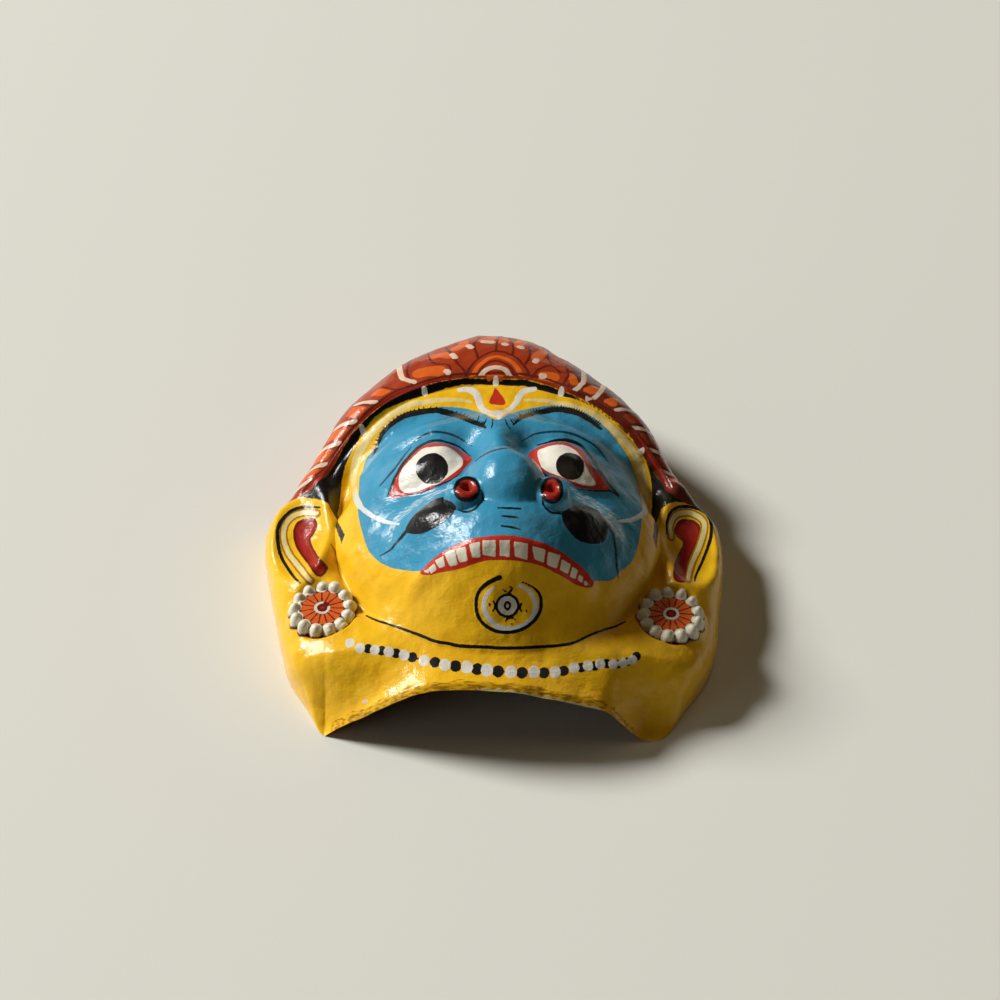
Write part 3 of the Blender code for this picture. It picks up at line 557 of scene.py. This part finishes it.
# The last of these lines, across the root of the nose, is painted shade along the top edge of the nose.
for points, width in (
    ([(-27.2, 92.8), (-22.5, 95.5), (-17.8, 95.9), (-13.0, 94.6), (-7.9, 91.6)], 0.55),
    ([(8.5, 93.6), (13.2, 96.0), (19.9, 96.8), (26.0, 95.6), (32.1, 92.0), (36.2, 87.4)], 0.5),
    ([(-27.7, 91.1), (-30.7, 86.2), (-33.6, 82.1), (-37.2, 78.1)], 0.5),
    ([(-6.2, 86.2), (-3.6, 88.2), (0.2, 89.8), (4.1, 90.2), (7.4, 89.6)], 0.35),
):
    lay("blue_line", brush(p, q, points, [0.8 * width, 1.5 * width, 1.5 * width, 0.7 * width]))

# The nose: red nostrils in black rings, three strokes between them, a curl from each ring, and a moustache
# of two black leaves.

for cx, cy, rx, ry in ((-8.3, 77.5, 4.2, 4.0), (17.9, 77.6, 3.6, 4.3)):
    lay("black", dab(p, q, cx, cy, rx, ry))
    lay("red_over", dab(p, q, cx, cy, rx - 0.8, ry - 1.1))
for points in ([(1.4, 71.8), (4.8, 71.7), (8.3, 71.5)], [(2.7, 69.4), (5.2, 69.2), (7.7, 69.0)],
               [(2.5, 66.5), (5.4, 66.1), (8.4, 65.5)]):
    lay("black", brush(p, q, points, [0.5, 0.72, 0.5]))
lay("black", brush(p, q, [(-3.9, 77.1), (-3.5, 74.0), (-5.7, 71.2), (-8.9, 70.4),
    (-11.8, 71.6)], [0.4, 0.7, 0.75, 0.5]))
lay("black", brush(p, q, [(14.9, 76.2), (15.3, 73.0), (17.3, 70.8), (20.5, 70.2)], [0.4, 0.7, 0.75, 0.6]))
lay("black", patch(p, q, [(-16.4, 74.4), (-13.1, 73.8), (-11.2, 71.9), (-12.1, 70.0), (-14.6, 67.4),
    (-18.5, 64.8), (-22.4, 63.1), (-26.4, 63.3), (-27.2, 64.5), (-25.9, 67.1), (-22.8, 70.4), (-19.6, 73.1)]))
lay("black", patch(p, q, [(21.1, 70.5), (23.7, 72.1), (27.7, 72.8), (31.7, 71.9), (34.9, 68.7), (35.5, 64.9),
    (34.2, 61.7), (30.2, 61.1), (26.3, 62.3), (23.0, 65.5), (21.4, 68.0)]))
lay("black", brush(p, q, [(-26.4, 64.4), (-28.0, 62.8), (-29.8, 60.9), (-32.3, 58.2),
    (-35.7, 56.2)], [1.2, 1.0, 0.7, 0.3]))
lay("black", brush(p, q, [(34.4, 68.5), (36.5, 65.7), (37.6, 62.9), (38.2, 57.8), (38.8, 52.7),
    (39.4, 49.9)], [1.3, 1.1, 0.9, 0.7, 0.35]))

# The mouth: a red band with fifteen cream teeth on it. Below it come a painted roundel, the chin line and
# the beads.

lay("red", patch(p, q, [(-22.0, 51.8), (-18.8, 55.4), (-13.4, 59.1), (-8.2, 61.7), (-2.9, 63.0), (3.1, 63.6),
    (9.3, 63.1), (16.3, 61.1), (21.7, 58.3), (27.0, 54.4), (30.7, 50.5), (31.1, 48.4), (29.0, 47.7),
    (25.4, 48.8), (21.8, 50.9), (18.2, 52.8), (15.8, 54.0), (12.9, 54.9), (9.4, 55.6), (5.3, 56.0),
    (0.7, 55.9), (-2.8, 55.5), (-6.3, 54.4), (-9.8, 53.1), (-13.3, 52.3), (-16.9, 51.5), (-19.0, 50.9),
    (-21.6, 51.0)]))
teeth = (
    [(-20.9, 51.9), (-19.6, 52.6), (-19.6, 51.6)],
    [(-19.4, 53.0), (-17.8, 54.3), (-17.1, 52.7), (-18.7, 51.5)],
    [(-17.5, 55.3), (-15.0, 56.6), (-14.5, 53.8), (-16.2, 53.3)],
    [(-14.5, 57.5), (-11.6, 58.8), (-10.5, 54.5), (-12.8, 53.9)],
    [(-11.1, 58.8), (-8.3, 59.8), (-7.5, 55.8), (-9.8, 55.2)],
    [(-7.0, 60.5), (-3.9, 61.4), (-3.8, 56.9), (-5.9, 56.7)],
    [(-2.9, 61.8), (0.8, 61.9), (0.9, 57.0), (-2.8, 57.6)],
    [(2.2, 61.9), (5.2, 62.0), (5.2, 57.1), (2.4, 57.4)],
    [(6.6, 61.6), (10.7, 61.0), (10.5, 56.3), (7.0, 57.3)],
    [(12.2, 60.3), (16.0, 59.3), (15.7, 55.4), (12.9, 56.5)],
    [(17.1, 58.6), (20.6, 57.6), (19.6, 53.7), (16.8, 54.7)],
    [(21.2, 56.3), (23.8, 54.9), (23.0, 52.1), (20.7, 53.3)],
    [(24.4, 54.1), (26.0, 53.0), (25.5, 50.5), (23.9, 51.2)],
    [(26.7, 51.6), (27.8, 50.9), (27.7, 49.3), (26.4, 50.0)],
    [(28.5, 49.8), (29.8, 48.7), (28.2, 48.4)],
)
for points in teeth:
    lay("white_over", patch(p, q, points, smooth=False) - 0.12)

cx, cy = 4.8, 42.1
lay("pale", brush(p, q, [(0.6, 47.5), (-1.3, 45.7), (-2.3, 42.9), (-1.9, 40.1), (-0.1, 37.3), (2.7, 35.4),
    (6.2, 35.0), (9.7, 36.0), (12.2, 38.2), (13.3, 41.0), (13.1, 43.8), (11.3, 46.6),
    (8.5, 48.3)], [0.9, 1.5, 1.6, 1.6, 1.5, 1.0]))
lay("black", brush(p, q, [(2.3, 50.7), (-0.2, 49.6), (-2.7, 47.8), (-4.4, 45.3), (-4.8, 42.5), (-4.3, 39.4),
    (-2.6, 36.6), (0.7, 34.5), (4.5, 33.9), (9.0, 34.8), (12.5, 37.1), (14.6, 39.9), (15.0, 42.7),
    (14.5, 45.6), (12.7, 47.7), (9.2, 49.4)], [1.6, 1.1, 1.1, 1.15, 1.1, 0.6]))
lay("black", dab(p, q, cx, cy, 3.75, 3.75))
lay("pale_over", dab(p, q, cx, cy, 2.9, 2.9))
lay("black_over", dab(p, q, cx, cy, 1.15, 1.45))
lay("pale_top", dab(p, q, cx, cy, 0.45, 0.6))
for points in (
    [(3.4, 46.9), (5.0, 46.2), (6.2, 47.3), (5.2, 48.1)], [(0.5, 43.6), (1.1, 41.9), (0.4, 40.5)],
    [(-0.8, 42.9), (-0.5, 41.9)], [(9.1, 42.9), (8.6, 41.6), (9.1, 40.3)],
    [(4.3, 37.4), (5.5, 38.4), (7.3, 37.9)], [(10.5, 40.8), (10.7, 40.4)], [(6.1, 36.6), (6.4, 36.4)],
):
    lay("black", brush(p, q, points, [0.6, 0.75, 0.55]))

lay("black", brush(p, q, [(-39.7, 37.3), (-34.6, 35.7), (-29.4, 34.5), (-25.5, 33.4), (-21.4, 32.1),
    (-17.3, 30.7), (-13.2, 30.1), (-9.5, 29.5), (-1.6, 29.3), (4.2, 29.1), (14.0, 29.5), (22.0, 30.1),
    (26.0, 31.0), (29.7, 32.8), (33.7, 34.2), (37.8, 35.4),
    (41.6, 36.8)], [0.45, 0.8, 0.95, 1.05, 1.1, 1.05, 1.0, 0.9, 0.8, 0.45]))
white_beads = [(-43.7, 29.4), (-40.4, 28.0), (-35.8, 27.5), (-31.4, 27.0), (-26.7, 26.3), (-20.4, 24.9),
    (-13.9, 23.7), (-7.2, 23.3), (-1.1, 22.6), (6.2, 22.1), (13.2, 22.1), (19.6, 22.0), (25.4, 23.3),
    (29.7, 23.9), (33.4, 24.5), (37.4, 24.5), (40.5, 24.8), (43.3, 25.7)]
black_beads = [(-37.9, 27.9), (-33.7, 27.3), (-29.2, 26.7), (-24.2, 25.8), (-17.0, 24.4), (-10.7, 23.5),
    (-4.1, 22.8), (2.3, 22.3), (9.5, 21.9), (16.2, 21.8), (22.2, 22.4), (27.6, 23.4), (31.7, 23.9),
    (35.5, 24.6), (38.9, 24.5), (41.9, 25.2), (44.6, 26.8)]
lay("black", brush(p, q, [(-39.2, 28.1), (-31.4, 26.9), (-24.2, 25.8), (-13.9, 23.7), (-4.1, 22.8),
    (6.2, 22.1), (16.2, 21.8), (25.4, 23.1), (33.4, 24.3), (40.5, 24.8),
    (44.8, 26.9)], [0.35, 0.5, 0.55, 0.5, 0.35]))
for k, (cx, cy) in enumerate(black_beads):
    big = math.exp(-((cx - 1.0) / 30.0) ** 2)
    lay("black", dab(p, q, cx, cy, 1.3 + 0.5 * big, 1.3 + 0.45 * big, 0.2 * math.sin(5.0 * k)))
for k, (cx, cy) in enumerate(white_beads):
    big = math.exp(-((cx - 1.0) / 30.0) ** 2)
    lay("white_ring", dab(p, q, cx, cy, 1.45 + 0.4 * big, 1.4 + 0.45 * big, 0.3 * math.sin(3.0 * k)))

# The neck edge, where the yellow is rubbed brown and thin, with one bare line and two pink chips.
lay("worn", np.where(neck_arch(x) > 2.0, y - 2.4 + 0.8 * np.sin(0.55 * x) * np.sin(0.23 * x + 1.0), 2.0))
lay("cream", np.where((x > -4.0) & (x < 34.0), y - 0.45 + 0.25 * np.sin(1.7 * x), 2.0))
for cx, cy in [(-30.4, 15.3), (-38.6, 11.7)]:
    lay("crown_cream", dab(p, q, cx, cy, 1.0, 0.6, 0.5))

# The ears: a red comma with a dark outline in the cup, round it a cream line edged with ochre, and outside
# that a black line.

for comma, cream_line, black_line in (
    ([(-62.2, 66.4), (-59.7, 66.5), (-58.9, 64.8), (-60.0, 62.2), (-60.9, 60.6), (-59.4, 57.3),
        (-56.1, 54.0), (-54.4, 51.7), (-54.6, 50.1), (-55.8, 49.8), (-58.0, 52.0), (-62.0, 55.6),
        (-64.6, 59.1), (-65.5, 63.0), (-64.6, 65.4)],
     [(-58.5, 68.8), (-62.9, 69.1), (-66.9, 67.7), (-69.2, 64.6), (-69.1, 60.3), (-66.9, 55.8),
         (-63.7, 52.4), (-60.0, 49.4), (-58.2, 47.6)],
     [(-57.6, 70.8), (-62.7, 70.9), (-67.1, 69.7), (-70.1, 66.9), (-71.4, 63.6), (-71.0, 59.7),
         (-69.5, 55.1), (-66.5, 51.0), (-63.4, 48.3), (-61.5, 46.9)]),
    ([(61.0, 68.0), (64.5, 68.0), (66.5, 66.4), (66.4, 63.8), (64.8, 60.4), (62.9, 56.9), (61.8, 52.1),
        (61.1, 50.0), (58.1, 50.0), (57.9, 52.8), (59.8, 56.9), (61.8, 60.4), (61.5, 62.4), (59.8, 63.7),
        (59.2, 65.6)],
     [(57.4, 63.1), (57.2, 66.6), (59.0, 70.0), (62.9, 71.0), (66.3, 70.0), (68.6, 67.7), (68.0, 63.8),
         (66.1, 59.1), (63.7, 54.6), (62.2, 50.3)],
     [(56.0, 64.0), (56.1, 68.3), (58.3, 72.0), (63.0, 73.0), (68.2, 71.7), (70.7, 68.4), (70.7, 64.5),
         (69.5, 60.2), (67.2, 55.3), (64.8, 51.1), (64.2, 49.7)]),
):
    red = patch(p, q, comma)
    lay("crown_line", red - 0.75)
    lay("red_ear", red)
    lay("ochre", brush(p, q, cream_line, [2.7]))
    lay("cream", brush(p, q, cream_line, [1.2, 1.6, 1.6, 1.6, 1.2]))
    lay("black", brush(p, q, black_line, [0.6, 1.1, 1.2, 1.2, 0.9, 0.6]))
# A faint ochre stroke down the crease in front of the left ear is painted shade.
lay("ochre", brush(p, q, [(-53.3, 58.8), (-51.4, 54.1), (-48.5, 47.2)], [0.3, 0.6, 0.3]))

# The earrings: cream knobs round an orange flower with dark red partings, with a white ring and a red dot
# at its heart.

for side in (-1.0, 1.0):
    dx, dy = x - side * RING_X - RING_SHIFT, y - RING_Y
    d = np.hypot(dx, dy)
    around = np.arctan2(dy, dx)
    pitch = 2 * np.pi / KNOBS
    k = np.round((around - KNOB_TURN) / pitch) * pitch + KNOB_TURN
    knob = np.hypot(dx - RING_RADIUS * np.cos(k), dy - RING_RADIUS * np.sin(k)) - 2.2
    lay("crown_line", np.minimum(d - 8.4, knob - 0.3))
    fold = 2 * np.pi / 15
    slit = (around - np.round(around / fold) * fold) * d
    petal = np.maximum(np.maximum(d - 6.7, 2.5 - d), 0.22 - np.abs(slit))
    lay("petal", petal)
    lay("white_over", knob)
    ring_gap = (np.abs(around - 0.9) < 0.5) & (side < 0)
    lay("white_ring", np.where(ring_gap, 2.0, np.abs(d - 2.1) - 0.45))
    lay("red_over", d - 0.7)

# Paper lumps, brush ridges and paint thickness. The wet paper dries uneven, and the thick paint stands up at
# each edge.

def lumps(u, v, w, size, seed):
    """Smooth random heights from -1 to 1 on lumps of one size: a seeded lattice, blended by an S curve."""
    table = np.random.default_rng(seed).uniform(-1.0, 1.0, (61, 67, 43))
    cell = [np.floor(c / size).astype(int) for c in (u, v, w)]
    part = [ease(c / size - i) for c, i in zip((u, v, w), cell)]
    total = np.zeros(u.shape)
    for a in (0, 1):
        for b in (0, 1):
            for c in (0, 1):
                weight = ((part[0] if a else 1 - part[0]) * (part[1] if b else 1 - part[1])
                          * (part[2] if c else 1 - part[2]))
                total += weight * table[(cell[0] + a) % 61, (cell[1] + b) % 67, (cell[2] + c) % 43]
    return total


def vertex_normals(points, faces):
    """Mean direction of the faces round each point, larger faces counting for more."""
    corner = points[faces]
    flat = np.cross(corner[:, 2] - corner[:, 0], corner[:, 3] - corner[:, 1])
    total = np.zeros(points.shape)
    for k in range(4):
        for axis in range(3):
            total[:, axis] += np.bincount(faces[:, k], flat[:, axis], len(points))
    return total / np.maximum(np.linalg.norm(total, axis=1, keepdims=True), 1e-12)


shell = np.stack([x, y, z], 1)
normal = vertex_normals(shell, outer_faces)[twin]
steady = ease(z / 3.0)[:, None]
relief = 0.32 * lumps(x, y, z, 8.0, 11) + 0.2 * lumps(x, y, z, 4.0, 12) + 0.08 * lumps(x, y, z, 1.8, 13)

# The rim of each eye's white stands up as a lid, and the paints named here lie thicker than the rest.
lid = np.minimum(np.abs(layers["white_eye"] + 0.1), 2.0)
relief += 0.2 * np.exp(-((lid / 0.8) ** 2))
for name in ("cream", "pale", "white", "white_over", "black", "crown_cream", "crown_orange", "white_ring"):
    relief += 0.05 * clip01(0.5 - layers[name] / 0.3)

# The ears' commas and the line along the crown are pressed in. The nostrils' red and the valley in front of
# each ear are filled again, the cheek swells under the left leaf, the crown's lower edge is rounded.
relief -= 0.4 * clip01(0.5 - layers["red_ear"] / 1.4)
relief += 0.9 * clip01(0.5 - layers["red_over"] / 1.2) * (np.abs(x) < 30.0)
relief += 1.4 * np.exp(-(((np.abs(x) - 51.0) / 3.0) ** 2)) * ease((y - 38.0) / 8.0) * ease((76.0 - y) / 8.0)
relief += mound(p, q, -19.8, 68.6, 8.0, 4.0, 1.2, 0.64)
band = np.sqrt((x / 61.0) ** 2 + ((y - 66.0) / 53.0) ** 2)
relief -= 1.2 * np.exp(-(((band - 1.05) / 0.04) ** 2)) * ease((y - 86.0) / 6.0)
shell = shell + normal * relief[:, None] * steady
shell[:, 1] = np.where(y < 1e-6, 0.0, np.maximum(shell[:, 1], 0.0))
normal = vertex_normals(shell, outer_faces)[twin]


def outer_piece(name, first, last, faces):
    """One of the three nets that make up the painted shell, with the whole shell's normals at its seams."""
    fields = {key: values[first:last] for key, values in layers.items()}
    piece = make_mesh(name, shell[first:last], faces, fields)
    piece.data.normals_split_custom_set_from_vertices(normal[first:last].tolist())
    return piece


face_piece = outer_piece("mask_face", 0, face_count, face_faces)
band_piece = outer_piece("mask_ears_and_crown", face_count, face_count + (HALF_ROWS + 1) * TURNS,
                         grid_faces(HALF_ROWS, TURNS, True))
wall_piece = outer_piece("mask_edge_wall", face_count + HALF_ROWS * TURNS, len(shell),
                         grid_faces(RAY_ROWS - HALF_ROWS, TURNS, True))

# The paint is poster colour in gum, brushed on by hand and varnished when dry: strong colour under a thin
# gloss, with the paper's lumps and the brush's streaks showing in the highlights.


def linear(code):
    """A colour from its sRGB hex value to the shader's linear values."""
    c = np.array([int(code[k:k + 2], 16) for k in (1, 3, 5)]) / 255.0
    c = np.where(c <= 0.04045, c / 12.92, ((c + 0.055) / 1.055) ** 2.4)
    return (*c.tolist(), 1.0)


def add_node(tree, kind, settings, links):
    """A shader node with its settings, a name for a property or a socket, and the sockets that feed it."""
    node = tree.nodes.new(kind)
    for key, value in settings.items():
        if isinstance(key, str) and hasattr(node, key):
            setattr(node, key, value)
        else:
            node.inputs[key].default_value = value
    for key, socket in links.items():
        tree.links.new(socket, node.inputs[key])
    return node


def new_finish(name):
    """A material with a Principled shader, and its Object coordinates in metres."""
    finish = bpy.data.materials.new(name)
    finish.use_nodes = True
    tree = finish.node_tree
    place = add_node(tree, "ShaderNodeTexCoord", {}, {}).outputs["Object"]
    return finish, tree, tree.nodes["Principled BSDF"], place


# The darker crown ground, #6B220F, is painted shade on the crown's right side.
PAINTS = [
    ("hair", "#161412"), ("crown_ground", "#A83A17"), ("crown_painted_shade", "#6B220F"),
    ("crown_orange", "#E2661C"), ("crown_line", "#6E1E0C"), ("crown_cream", "#EBCDB4"),
    ("blue", "#3A97BC"), ("ochre", "#A8780E"), ("worn", "#B5810F"), ("cream", "#F2DC93"),
    ("pale", "#D9DDDC"), ("dry", "#B9D2DC"), ("red", "#CF3520"), ("red_ear", "#A92218"),
    ("petal", "#E5672A"), ("white", "#F0EBDD"), ("white_eye", "#F6F2E2"), ("black", "#121110"),
    ("blue_line", "#0F3C52"), ("red_over", "#A92819"), ("white_over", "#F0EBD4"),
    ("white_ring", "#E8E2D6"), ("pale_over", "#D5D0C4"), ("black_over", "#141312"),
    ("pale_top", "#D5D0C4"),
]
paint, tree, shader, place = new_finish("poster_paint_varnished_on_paper")
wobble = add_node(tree, "ShaderNodeTexNoise", {"Scale": 900.0, "Detail": 1.0}, {"Vector": place})
wobble = add_node(tree, "ShaderNodeMath", {"operation": "MULTIPLY_ADD", 1: 0.30, 2: -0.15},
                  {0: wobble.outputs["Fac"]})
cloud = add_node(tree, "ShaderNodeTexNoise", {"Scale": 90.0, "Detail": 4.0, "Roughness": 0.6},
                 {"Vector": place})
colour = add_node(tree, "ShaderNodeMix", {"data_type": "RGBA", 6: linear("#E2A40B"), 7: linear("#F5C622")},
                  {0: cloud.outputs["Fac"]}).outputs[2]
bristle = add_node(tree, "ShaderNodeMapping",
                   {"Scale": (260.0, 1500.0, 900.0), "Rotation": (0.0, 0.0, 0.5)},
                   {"Vector": place})
bristle = add_node(tree, "ShaderNodeTexNoise", {"Scale": 1.0, "Detail": 3.0},
                   {"Vector": bristle.outputs["Vector"]})
for name, code in PAINTS:
    reach = add_node(tree, "ShaderNodeAttribute", {"attribute_name": name}, {}).outputs["Fac"]
    reach = add_node(tree, "ShaderNodeMath", {"operation": "ADD"},
                     {0: reach, 1: wobble.outputs[0]}).outputs[0]
    share = add_node(tree, "ShaderNodeMapRange", {"interpolation_type": "SMOOTHSTEP", "From Min": -0.09,
                     "From Max": 0.09, "To Min": 1.0, "To Max": 0.0}, {"Value": reach}).outputs["Result"]
    if name in ("dry", "worn"):
        streak = add_node(tree, "ShaderNodeMapRange", {"From Min": 0.42, "From Max": 0.6},
                          {"Value": bristle.outputs["Fac"]})
        share = add_node(tree, "ShaderNodeMath", {"operation": "MULTIPLY"},
                         {0: share, 1: streak.outputs["Result"]}).outputs[0]
    over = linear(code)
    deep = tuple(0.72 * c for c in over[:3]) + (1.0,)
    coat = add_node(tree, "ShaderNodeMix", {"data_type": "RGBA", 6: deep, 7: over},
                    {0: cloud.outputs["Fac"]}).outputs[2]
    colour = add_node(tree, "ShaderNodeMix", {"data_type": "RGBA"},
                      {0: share, 6: colour, 7: coat}).outputs[2]
tree.links.new(colour, shader.inputs["Base Color"])
grain = add_node(tree, "ShaderNodeTexNoise", {"Scale": 1100.0, "Detail": 3.0, "Roughness": 0.6},
                 {"Vector": place})
height = add_node(tree, "ShaderNodeMath", {"operation": "MULTIPLY_ADD", 1: 0.5}, {0: bristle.outputs["Fac"],
                  2: grain.outputs["Fac"]})
bump = add_node(tree, "ShaderNodeBump", {"Strength": 0.7, "Distance": 0.00018},
                {"Height": height.outputs[0]})
tree.links.new(bump.outputs["Normal"], shader.inputs["Normal"])
gloss = add_node(tree, "ShaderNodeMapRange",
                 {"From Min": 0.3, "From Max": 0.7, "To Min": 0.1, "To Max": 0.24},
                 {"Value": cloud.outputs["Fac"]})
tree.links.new(gloss.outputs["Result"], shader.inputs["Coat Roughness"])
tree.links.new(bump.outputs["Normal"], shader.inputs["Coat Normal"])
shader.inputs["Specular IOR Level"].default_value = 0.1
shader.inputs["Coat Weight"].default_value = 0.9
shader.inputs["Coat IOR"].default_value = 1.33
for piece in (face_piece, band_piece, wall_piece):
    piece.data.materials.append(paint)

# The bare inside and the cut rim. Behind the paint the shell is brown pasted paper, dull and uneven, darkened
# by paste; along the rim the yellow has run over the edge and worn off to the orange-brown paper.

neck = (ray_angle - rim_angle[0]) % (2 * np.pi) < neck_tips[1] - neck_tips[0]
reach = rim_radius(ray_angle)
step = 1e-3
slope = (rim_radius(ray_angle + step) - rim_radius(ray_angle - step)) / (2 * step) / reach
moved = reach - WALL * np.sqrt(1.0 + np.clip(slope, -1.2, 1.2) ** 2)
INNER_ROWS = 44
t = np.linspace(1.0, 0.0, INNER_ROWS + 1)[:, None]
t = 1.0 - (1.0 - t) ** 1.7
xi = HUB[0] + moved * np.cos(ray_angle) * t
yi = HUB[1] + moved * np.sin(ray_angle) * t
zi = np.maximum(inner_height(xi, yi), 0.0)
zi[0] = np.where(neck, zi[0], 0.0)
zi = zi - 0.25 * np.abs(lumps(xi, yi, zi, 5.0, 21)) * ease(zi / 3.0) * (t < 0.999)
inside = np.stack([xi, yi, zi], -1)
inside = inside[:-1].reshape(-1, 3)
hub_point = np.array([[HUB[0], HUB[1], zi[-1].mean()]])
rim_row = shell[len(shell) - TURNS:]
points = np.vstack([rim_row, inside, hub_point])
faces = grid_faces(INNER_ROWS, TURNS, True)
faces = np.vstack([faces, np.stack([INNER_ROWS * TURNS + (np.arange(TURNS) + 1) % TURNS,
                                    INNER_ROWS * TURNS + np.arange(TURNS),
                                    np.full(TURNS, len(points) - 1), np.full(TURNS, len(points) - 1)], 1)])
mesh = bpy.data.meshes.new("mask_inside")
mesh.from_pydata(((points - (*MIDDLE, 0.0)) * 0.001).tolist(), [],
                 [tuple(f) if f[2] != f[3] else tuple(f[:3]) for f in faces.tolist()])
mesh.shade_smooth()
rim_mark = mesh.attributes.new("rim", "FLOAT", "POINT")
on_rim = np.concatenate([np.ones(2 * TURNS), np.zeros(len(points) - 2 * TURNS)])
rim_mark.data.foreach_set("value", on_rim.astype(np.float32))
inner_piece = bpy.data.objects.new("mask_inside", mesh)
bpy.context.scene.collection.objects.link(inner_piece)

paper, tree, shader, place = new_finish("bare_pasted_paper_brown")
blotch = add_node(tree, "ShaderNodeTexNoise", {"Scale": 140.0, "Detail": 5.0}, {"Vector": place})
colour = add_node(tree, "ShaderNodeMix", {"data_type": "RGBA", 6: linear("#3A2418"), 7: linear("#6B4A30")},
                  {0: blotch.outputs["Fac"]})
worn = add_node(tree, "ShaderNodeMix", {"data_type": "RGBA", 6: linear("#8A4A12"), 7: linear("#C58A1A")},
                {0: blotch.outputs["Fac"]})
mark = add_node(tree, "ShaderNodeAttribute", {"attribute_name": "rim"}, {})
colour = add_node(tree, "ShaderNodeMix", {"data_type": "RGBA"},
                  {0: mark.outputs["Fac"], 6: colour.outputs[2],
                  7: worn.outputs[2]})
tree.links.new(colour.outputs[2], shader.inputs["Base Color"])
fibre = add_node(tree, "ShaderNodeTexNoise", {"Scale": 700.0, "Detail": 4.0}, {"Vector": place})
bump = add_node(tree, "ShaderNodeBump", {"Strength": 0.6, "Distance": 0.0003},
                {"Height": fibre.outputs["Fac"]})
tree.links.new(bump.outputs["Normal"], shader.inputs["Normal"])
shader.inputs["Roughness"].default_value = 0.85
inner_piece.data.materials.append(paper)

for piece in (face_piece, band_piece, wall_piece, inner_piece):
    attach(piece, "root")
    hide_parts("mask")

# The table it was photographed on: a plain pale painted board, matt. It is 6 m square and lies a tenth of a
# millimetre under the rim.

floor_mesh = bpy.data.meshes.new("floor")
floor_mesh.from_pydata([(-3, -3, -0.0001), (3, -3, -0.0001), (3, 3, -0.0001), (-3, 3, -0.0001)], [],
                       [(0, 1, 2, 3)])
floor = bpy.data.objects.new("floor", floor_mesh)
bpy.context.scene.collection.objects.link(floor)
board, tree, shader, place = new_finish("matt_painted_board")
shader.inputs["Base Color"].default_value = linear("#E0E0D8")
shader.inputs["Roughness"].default_value = 0.75
floor_mesh.materials.append(board)

# Soft daylight: one large window low on the left and a little behind. A pale wall at the front left sends
# about a twentieth of it back onto the chin, a warm ceiling a little onto the shaded side; the rest of the
# room is nearly dark.

for name, size, energy, color, aim, away in (
    ("window", 2.4, 880.0, (1.0, 0.99, 0.965), (-0.75, 0.32, 0.58), 8.0),
    ("pale_wall", 2.4, 12.0, (1.0, 0.97, 0.92), (-0.84, -0.44, 0.32), 4.0),
    ("ceiling", 5.0, 30.0, (1.0, 0.78, 0.5), (0.35, 0.25, 0.9), 6.0),
):
    soft = bpy.data.lights.new(name, "AREA")
    soft.shape = "DISK"
    soft.size = size
    soft.energy = energy
    soft.color = color
    soft_at = bpy.data.objects.new(name, soft)
    bpy.context.scene.collection.objects.link(soft_at)
    aim = Vector(aim).normalized()
    soft_at.location = aim * away
    soft_at.rotation_euler = aim.to_track_quat("Z", "Y").to_euler()
room = bpy.data.worlds.new("room")
room.use_nodes = True
room.node_tree.nodes["Background"].inputs["Color"].default_value = (1.0, 0.84, 0.56, 1.0)
room.node_tree.nodes["Background"].inputs["Strength"].default_value = 0.012
bpy.context.scene.world = room

# The camera stands at the photograph's angle: 47 degrees above the table, 716 mm from the mask, 75 mm lens.

lens = bpy.data.cameras.new("camera")
lens.lens = 75.0
lens.sensor_width = 36.0
camera = bpy.data.objects.new("camera", lens)
bpy.context.scene.collection.objects.link(camera)
camera.location = (0.01165, -0.46441, 0.52365)
look = Vector((0.00142, 0.02379, 0.0)) - camera.location
camera.rotation_euler = look.to_track_quat("-Z", "Y").to_euler()
bpy.context.scene.camera = camera
bpy.context.scene.view_settings.view_transform = "Standard"
